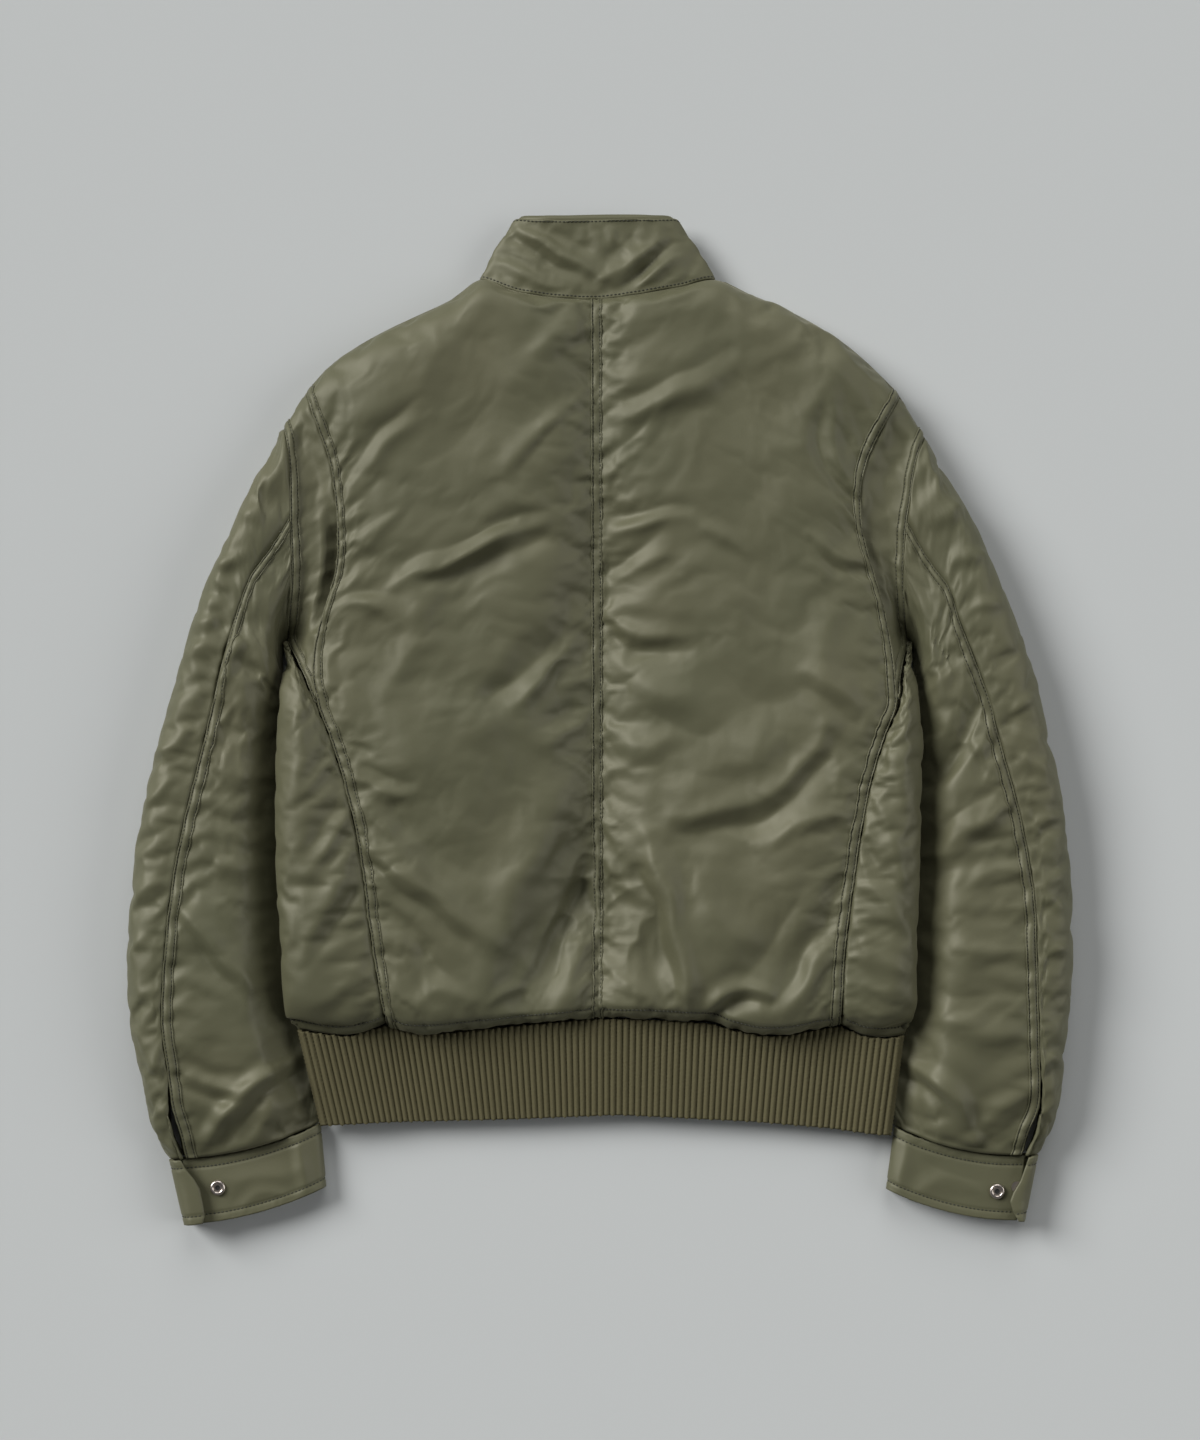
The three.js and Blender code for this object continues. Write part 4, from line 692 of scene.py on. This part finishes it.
# Near-black painted shade for the floor of the stud's hole, standing in for the dark of a deep hole
painted_shade_hole = finished("stud_hole_painted_shade", (0.008, 0.008, 0.008), (0.014, 0.013, 0.012), 0.7,
                     [(300.0, 0.02 * MM), (2000.0, 0.01 * MM)], patches=200.0)


# Lines along a panel's edges, for seam strips and stitches
def line_on(skin, edge, distance):
    """Points and normals of a skin at a distance in from one of its edges."""
    grid, normals = skin.grid, skin.normals()
    if edge in ("low", "high"):
        grid, normals = grid.transpose(1, 0, 2), normals.transpose(1, 0, 2)
    if edge in ("last", "high"):
        grid, normals = grid[:, ::-1], normals[:, ::-1]
    across = across_of(grid)
    points, ups = [], []
    for r in range(len(grid)):
        points.append([np.interp(distance, across[r], grid[r, :, k]) for k in range(3)])
        ups.append([np.interp(distance, across[r], normals[r, :, k]) for k in range(3)])
    return np.array(points), np.array(ups)


def travel_of(points):
    return np.concatenate([[0], np.cumsum(np.linalg.norm(np.diff(points, axis=0), axis=1))])


def evened_to(points, ups, count):
    """The same line with a given count of points, evenly apart."""
    travel = travel_of(points)
    marks = np.linspace(0, travel[-1], count)
    return tuple(np.stack([np.interp(marks, travel, a[:, k]) for k in range(3)], axis=1)
                 for a in (points, ups))


def evened(points, ups, gap):
    """The same line with its points a given gap apart."""
    return evened_to(points, ups, max(2, round(travel_of(points)[-1] / gap) + 1))


STITCH = {"pitch": 3.3 * MM, "long": 2.6 * MM, "thick": 1.3 * MM}
stitches = {"points": [], "faces": []}


def stitch_bead():
    """One stitch, a bead of thread along x: its points and faces."""
    bpy.ops.mesh.primitive_ico_sphere_add(subdivisions=1, radius=0.5)
    bead = bpy.context.object
    points = np.array([v.co[:] for v in bead.data.vertices])
    faces = np.array([p.vertices[:] for p in bead.data.polygons])
    bpy.data.objects.remove(bead)
    return points * (STITCH["long"], STITCH["thick"], STITCH["thick"]), faces


BEAD_POINTS, BEAD_FACES = stitch_bead()


def stitch_row(points, ups, lift=0.55 * MM):
    """Copies the stitch along a line, end to end with small gaps."""
    points, ups = evened(points, ups, STITCH["pitch"])
    for a, b, up in zip(points[:-1], points[1:], ups[:-1]):
        along = (b - a) / max(np.linalg.norm(b - a), 1e-9)
        up = up / max(np.linalg.norm(up), 1e-9)
        turned = BEAD_POINTS @ np.array([along, np.cross(up, along), up])
        stitches["faces"].append(BEAD_FACES + len(BEAD_POINTS) * len(stitches["points"]))
        stitches["points"].append(turned + (a + b) / 2 + up * lift)


STRIP = {"wide": 9.4 * MM, "high": 1.0 * MM, "low": 0.1 * MM, "thick": 0.7 * MM, "gap": 1.65 * MM,
         "inset": 0.2 * MM, "pull": 0.1 * MM}
# Across the strip: share of its width, and share of its height. The dips hold the stitches.
STRIP_PROFILE = [(0.0, 0.0), (0.03, 0.9), (0.09, 0.9), (0.17, -0.5), (0.25, 0.9), (0.5, 1.0),
                 (0.75, 0.9), (0.83, -0.5), (0.91, 0.9), (0.97, 0.9), (1.0, 0.0)]
STRIP_STITCHES = (3, 7)  # the steps of the profile that hold them


def seam_strip(name, rows):
    """A felled seam: a raised strip of cloth over given lines, with a row of stitches at each
    side. rows are (points, normals) of equally long lines, one for each step of the profile."""
    grid = np.stack([points + ups * (STRIP["low"] + STRIP["high"] * high)
                     for (points, ups), (_, high) in zip(rows, STRIP_PROFILE)], axis=1)
    travel = along_of(grid)[:, :1, None]
    ups = np.stack([up for _, up in rows], axis=1)
    grid = grid + ups * STRIP["pull"] * np.cos(2 * np.pi * travel / STITCH["pitch"])
    skin = Skin(grid, 1)
    skin.turn = np.sign((skin.normals() * ups).sum())
    cloth(name, skin, STRIP["thick"], nylon)
    for column in STRIP_STITCHES:
        stitch_row(grid[:, column], ups[:, column])


def strip_on(name, skin, edge):
    """A felled seam along one edge of a panel."""
    lines = [line_on(skin, edge, STRIP["inset"] + share * STRIP["wide"]) for share, _ in STRIP_PROFILE]
    lines = [evened(points, ups, STRIP["gap"]) for points, ups in lines]
    rows = min(len(points) for points, _ in lines)
    lines = [evened_to(points, ups, rows) for points, ups in lines]
    seam_strip(name, lines)


def centre_strip(left, right):
    """The strip over the centre back seam lies half on each back panel."""
    lines = []
    count = round(along_of(left.grid)[-1, 0] / STRIP["gap"])
    for share, _ in STRIP_PROFILE:
        offset = (share - 0.5) * STRIP["wide"]
        skin = left if offset < 0 else right
        points, ups = line_on(skin, "first", max(abs(offset), STRIP["inset"]))
        lines.append(evened_to(points, ups, count))
    seam_strip("centre_seam_strip", lines)


# Pieces
HEM = {"inset": 7 * MM, "deep": 1.3 * MM, "wide": 1.3 * MM}


def hem_stitched(skin, part=1.0):
    """A row of stitches in a groove along the hem, as far in from its outline as seen from above.
    It runs over the given part of the hem."""
    inset = skin.grid[..., 1] - skin.grid[:1, :, 1]
    inset = np.maximum.accumulate(inset, axis=0)
    sink = HEM["deep"] * np.exp(-(((inset - HEM["inset"]) / HEM["wide"]) ** 2))
    normals = skin.normals()
    skin.grid = skin.grid - normals * sink[..., None]
    columns = range(1, int(part * skin.grid.shape[1]) - 1)
    points, ups = (np.array([[np.interp(HEM["inset"], inset[:, c], values[:, c, k]) for k in range(3)]
                             for c in columns]) for values in (skin.grid, normals))
    stitch_row(points, ups)
    return skin


def build_body(name, seed):
    """Back, gusset, side and front of one half. Returns the back's skin."""
    back = sunk_to_seam(doubled(settled(fine(f"back_{name}"), seed)))
    back = puckered(creased(back, CREASES[name]), ("first", "last"), seed + 100)
    back = puckered(back, ("low",), seed + 101, high=1.0 * MM, long=9 * MM)
    back = hem_stitched(seam_dip(back, ("first", "last", "low")))
    cloth(f"back_{name}_cloth", back, SHELL, nylon, f"back_{name}")
    strip_on(f"armhole_seam_strip_{name}", back, "last")
    gusset = doubled(settled(fine(f"gusset_{name}"), seed + 1, surplus=0.008))
    gusset = seam_dip(puckered(gusset, ("last",), seed + 102, high=1.0 * MM), ("first", "last"))
    gusset = tucked(gusset, SIDES[name])
    cloth(f"gusset_{name}_cloth", gusset, SHELL, nylon, f"gusset_{name}")
    strip_on(f"gusset_seam_strip_{name}", gusset, "last")
    side = doubled(settled(fine(f"side_panel_{name}", by_seam), seed + 2, pressure=1.2, calm=0.6))
    side = drawn_out(side, SIDES[name], 1)
    side = puckered(creased(side, CREASES[f"{name}_side"]), ("first",), seed + 103, long=20 * MM)
    side = hem_stitched(seam_dip(side, ("first", "low")), part=0.55)
    cloth(f"side_panel_{name}_cloth", side, SHELL, nylon, f"side_panel_{name}")
    cloth(f"front_{name}_cloth", fine(f"front_{name}", step=9 * MM), SHELL, nylon,
          f"front_{name}")
    return back


TUCK = {"deep": {-1: 12 * MM, 1: 2.5 * MM}, "flat": 9 * MM, "reach": 15 * MM, "under": 10 * MM,
        "low": 0.095, "high": 0.15, "soft": 0.025}


def tucked(gusset, side):
    """Sinks the gusset and draws it in under the back's edge, beside the middle of the armhole."""
    inward = edge_gaps(gusset.grid)["first"][0]
    y = gusset.grid[..., 1]
    window = (np.clip((y - TUCK["low"]) / TUCK["soft"] + 1, 0, 1)
              * np.clip((TUCK["high"] - y) / TUCK["soft"] + 1, 0, 1))
    rise = np.clip((TUCK["reach"] - inward) / (TUCK["reach"] - TUCK["flat"]), 0, 1)
    sink = TUCK["deep"][side] * window * rise
    gusset.grid = gusset.grid - gusset.normals() * sink[..., None]
    drawn_in = np.clip(1 - inward / TUCK["under"], 0, 1) * window * TUCK["under"]
    gusset.grid[..., 0] -= side * drawn_in
    return gusset


# Where sleeve and side panel come together under the arm, and the slits above the cuffs
UNDERARM = {"place": {-1: (-0.262, 0.044), 1: (0.262, 0.044)}, "reach": 26 * MM, "shift": 2.2 * MM}
VENT = {"place": {-1: (-0.3462, -0.337), 1: (0.3545, -0.339)}, "reach": 17 * MM, "shift": 2.4 * MM}


def drawn_out(skin, side, way, opening=UNDERARM):
    """Moves the cloth near an opening outward from the body (way 1) or toward it (way -1)."""
    gap = np.linalg.norm(skin.grid[..., :2] - np.array(opening["place"][side]), axis=2)
    skin.grid[..., 0] += way * side * opening["shift"] * np.exp(-((gap / opening["reach"]) ** 2))
    return skin


def build_sleeve(name, seed):
    under = doubled(settled(fine(f"sleeve_under_{name}", by_seam), seed, pressure=1.2, calm=0.4))
    under = drawn_out(drawn_out(under, SIDES[name], -1), SIDES[name], -1, VENT)
    under = creased(under, CREASES[f"{name}_sleeve"])
    under = seam_dip(puckered(under, ("first",), seed + 100, high=1.2 * MM), ("first",))
    cloth(f"sleeve_under_{name}_cloth", under, SHELL, nylon, f"sleeve_under_{name}")
    strip_on(f"sleeve_seam_strip_{name}", under, "first")
    top = fine(f"sleeve_top_{name}", by_seam)
    top = doubled(settled(top, seed + 1, surplus=0.02, pressure=1.2, calm=0.5))
    top = puckered(creased(top, CREASES[f"{name}_sleeve"]), ("first",), seed + 101,
                   high=0.9 * MM, apart=12 * MM, long=24 * MM)
    top = drawn_out(seam_dip(top, ("first",), depth=0.8 * MM, reach=3 * MM), SIDES[name], 1, VENT)
    cloth(f"sleeve_top_{name}_cloth", top, SHELL, nylon, f"sleeve_top_{name}")


# Free edge of each cuff's tab, from its top to its foot: share of the way down, move to the right
TAB_EDGES = {
    "left": ("last", [(0, -5), (0.15, -3), (0.3, 0.8), (0.45, 2.6), (0.7, 1.2), (0.88, -0.4), (1, -4)]),
    "right": ("first", [(0, 6), (0.15, 4.5), (0.36, 2.6), (0.55, -1.6), (0.69, -3), (0.85, 1), (1, 7)]),
}
TAB_REACH = 15 * MM


def shaped_tab(cuff, name):
    """Bends the tab's free edge to its curve and rounds its foot."""
    edge, curve = TAB_EDGES[name]
    inward, travel = edge_gaps(cuff.grid)[edge]
    down = 1 - travel / travel[-1:]
    shares, moves = zip(*curve)
    move = np.interp(down, shares, moves) * MM
    cuff.grid[..., 0] += move * np.clip(1 - inward / TAB_REACH, 0, 1)
    return cuff


CUFF = {"thick": 2.4 * MM, "seam": 7 * MM, "seed": 51}


def build_cuff(name):
    cuff = shaped_tab(doubled(fine(f"cuff_{name}", by_x, 3 * MM)), name)
    cuff = creased(cuff, CREASES[f"{name}_cuff"])
    cuff = puckered(cuff, ("low", "high"), CUFF["seed"], high=0.7 * MM, apart=7 * MM, long=6 * MM)
    for edge in ("low", "high"):
        cuff = grooved(cuff, edge, CUFF["seam"], deep=0.9 * MM, wide=1.2 * MM)
    cloth(f"cuff_{name}_cloth", cuff, CUFF["thick"], nylon, f"cuff_{name}")
    for edge in ("low", "high"):
        edge_stitched(cuff, edge, CUFF["seam"])


def edge_stitched(skin, edge, inset):
    """A row of stitches along an edge, pressed into the cloth."""
    points, ups = line_on(skin, edge, inset)
    stitch_row(points[1:-1], ups[1:-1], lift=0.1 * MM)


UNDER_BINDING = 3 * MM  # how far the collar's cloth runs in under its bound edge


def build_collar():
    collar = settled(fine("collar", by_x, 3.5 * MM), 41, surplus=0.01, pressure=0.4, limit=1.2 * MM)
    collar = creased(doubled(collar), CREASES["collar"])
    from_top = edge_gaps(collar.grid)["high"][0]
    collar.grid[..., 1] += UNDER_BINDING * np.clip(1 - from_top / (4 * UNDER_BINDING), 0, 1)
    cloth("collar_cloth", collar, SHELL, nylon, "collar")
    edge_stitched(collar, "high", 1.6 * MM)
    edge_stitched(collar, "low", 2.5 * MM)
    binding = fine("collar_binding", by_x, 3.5 * MM)
    cloth("collar_binding_cloth", binding, 3 * MM, nylon, "collar_binding")


# Waist rib
RIB = {"parts": 6, "high": 3.0 * MM, "narrowest": 2 * MM, "widest": 7 * MM, "row": 1.6 * MM,
       "thick": 2.2 * MM, "least": 0.25 * MM, "knit": 0.3, "round": 2.6}


def build_rib():
    """Round ribs over the valleys of the frame's rib, with knitted rows in the material."""
    skin = skin_of("waist_rib", by_x)
    grid, normals = skin.grid, skin.normals()
    above = grid[:, 1:-1] - (grid[:, :-2] + grid[:, 2:]) / 2
    rise = (above * normals[:, 1:-1]).sum(axis=2).mean(axis=0)
    kept = [0] + [i + 1 for i, r in enumerate(rise) if r < RIB["least"]] + [grid.shape[1] - 1]
    grid = refined(grid[:, kept], 0, RIB["row"])
    wide = np.linalg.norm(np.diff(grid, axis=1), axis=2).mean(axis=0)
    raised = (wide < RIB["widest"]) & (wide > RIB["narrowest"])
    grid = refined(grid, 1, parts=RIB["parts"])
    skin.grid = grid
    t = np.arange(1, RIB["parts"]) / RIB["parts"]
    hump = 1 - np.abs(2 * t - 1) ** RIB["round"]
    lift = np.zeros(grid.shape[:2])
    odd_rows = np.arange(len(grid)) % 2
    for i, is_rib in enumerate(raised):
        if is_rib:
            loops = 1 - RIB["knit"] * (odd_rows == i % 2)
            lift[:, i * RIB["parts"] + 1:(i + 1) * RIB["parts"]] = loops[:, None] * hump * RIB["high"]
    skin.grid = grid + skin.normals() * lift[..., None]
    cloth("waist_rib_cloth", skin, RIB["thick"], knit, "waist_rib")


# Press studs: rings from the rim inward, each with its radius and height in millimetres
STUD_FOOT = (6.35, 0.9)
STUD_SIDES = 40
STUD_SMOOTH = 40  # degrees between faces that are still shaded as one
POINTS_UP = 0.9  # least z of the normal of a face that points up
STUD_RINGS = [(6.0, 1.7), (5.2, 2.3), (4.3, 2.35), (3.6, 1.9), (3.2, 1.1), (2.1, 1.0), (2.0, 0.3)]


def select_top(obj):
    """Goes into edit mode with only the faces selected that point up."""
    bpy.ops.object.mode_set(mode="EDIT")
    bpy.ops.mesh.select_all(action="DESELECT")
    bpy.ops.object.mode_set(mode="OBJECT")
    for face in obj.data.polygons:
        face.select = face.normal.z > POINTS_UP
    bpy.ops.object.mode_set(mode="EDIT")
    bpy.ops.mesh.select_mode(type="FACE")


def stud_shape(centre, foot):
    """A disc whose top is drawn up to a domed rim and down to a hole."""
    radius, height = STUD_FOOT
    bpy.ops.object.select_all(action="DESELECT")
    bpy.ops.mesh.primitive_cylinder_add(vertices=STUD_SIDES, radius=radius * MM, depth=height * MM,
                                        location=(centre.x, centre.y, foot + height * MM / 2))
    obj = bpy.context.object
    bpy.ops.object.transform_apply(location=True, rotation=True, scale=True)
    select_top(obj)
    for ring, rise in STUD_RINGS:
        move = (0, 0, (rise - height) * MM)
        bpy.ops.mesh.extrude_region_move(TRANSFORM_OT_translate={"value": move})
        bpy.ops.transform.resize(value=(ring / radius, ring / radius, 1), center_override=centre)
        radius, height = ring, rise
    bpy.ops.object.mode_set(mode="OBJECT")
    bpy.ops.object.shade_smooth_by_angle(angle=math.radians(STUD_SMOOTH))
    return obj


def build_stud(name):
    """A nickel stud with a hole in its middle, whose floor is painted shade in near black."""
    low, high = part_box(f"snap_{name}")
    obj = stud_shape((low + high) / 2, low.z)
    obj.name = f"stud_{name}"
    obj.data.materials.append(nickel)
    obj.data.materials.append(painted_shade_hole)
    # The largest upward face, the hole's floor, gets the near-black painted shade
    hole = max((f for f in obj.data.polygons if f.normal.z > POINTS_UP), key=lambda f: f.area)
    hole.material_index = 1
    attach(obj, "root")
    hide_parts(f"snap_{name}")


backs = {name: build_body(name, seed) for name, seed in (("left", 11), ("right", 21))}
centre_strip(backs["left"], backs["right"])
for name, seed in (("left", 31), ("right", 35)):
    build_sleeve(name, seed)
    build_cuff(name)
    build_stud(name)
build_collar()
build_rib()
rows = mesh_object("stitches", np.concatenate(stitches["points"]),
                   np.concatenate(stitches["faces"]).tolist(), thread)
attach(rows, "root")
for kept, material in (("snap_mate_left", nickel), ("snap_mate_right", nickel),
                       ("zip_chain", brass), ("zip_slider", brass),
                       ("zip_tape_left", tape), ("zip_tape_right", tape)):
    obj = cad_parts[kept]
    obj.data.materials.clear()
    obj.data.materials.append(material)


# Camera, lights and floor
PHOTO_FIELD = 1440 * PIXEL  # height of what the photo shows, at the jacket
JACKET_MIDDLE = 30 * MM
LENS, SENSOR = 90.0, 36.0


def add_camera():
    distance = PHOTO_FIELD * LENS / SENSOR
    bpy.ops.object.camera_add(location=(0, 0, distance + JACKET_MIDDLE), rotation=(0, 0, 0))
    camera = bpy.context.object
    camera.data.lens = LENS
    camera.data.sensor_width = SENSOR
    camera.data.clip_end = 20
    scene.camera = camera


def add_floor():
    floor = new_material("floor", (0.54, 0.555, 0.55), 0.9)
    floor.node_tree.nodes["Principled BSDF"].inputs["Specular IOR Level"].default_value = 0
    bpy.ops.mesh.primitive_plane_add(size=8, location=(0, 0, 0))
    plane = bpy.context.object
    plane.name = "floor"
    plane.data.materials.append(floor)


def add_sun(name, place, spread, strength):
    """Far soft light that is even over the floor. spread is its width in the sky, in degrees."""
    bpy.ops.object.light_add(type="SUN", location=place)
    light = bpy.context.object
    light.name = name
    light.data.energy = strength
    light.data.angle = math.radians(spread)
    aim = Vector((0, 0, 0)) - Vector(place)
    light.rotation_mode = "QUATERNION"
    light.rotation_quaternion = aim.to_track_quat("-Z", "Y")


def add_world():
    world = bpy.data.worlds.new("studio")
    scene.world = world
    world.use_nodes = True
    world.node_tree.nodes["Background"].inputs["Color"].default_value = (0.75, 0.77, 0.78, 1)
    world.node_tree.nodes["Background"].inputs["Strength"].default_value = 0.12


add_camera()
add_floor()
add_sun("key_light", (-3.0, 1.8, 2.2), 30, 3.2)
add_sun("fill_light", (3.2, 0.2, 1.8), 40, 0.9)
add_sun("top_light", (0.4, 3.4, 2.2), 40, 0.9)
add_world()
scene.view_settings.view_transform = "Standard"
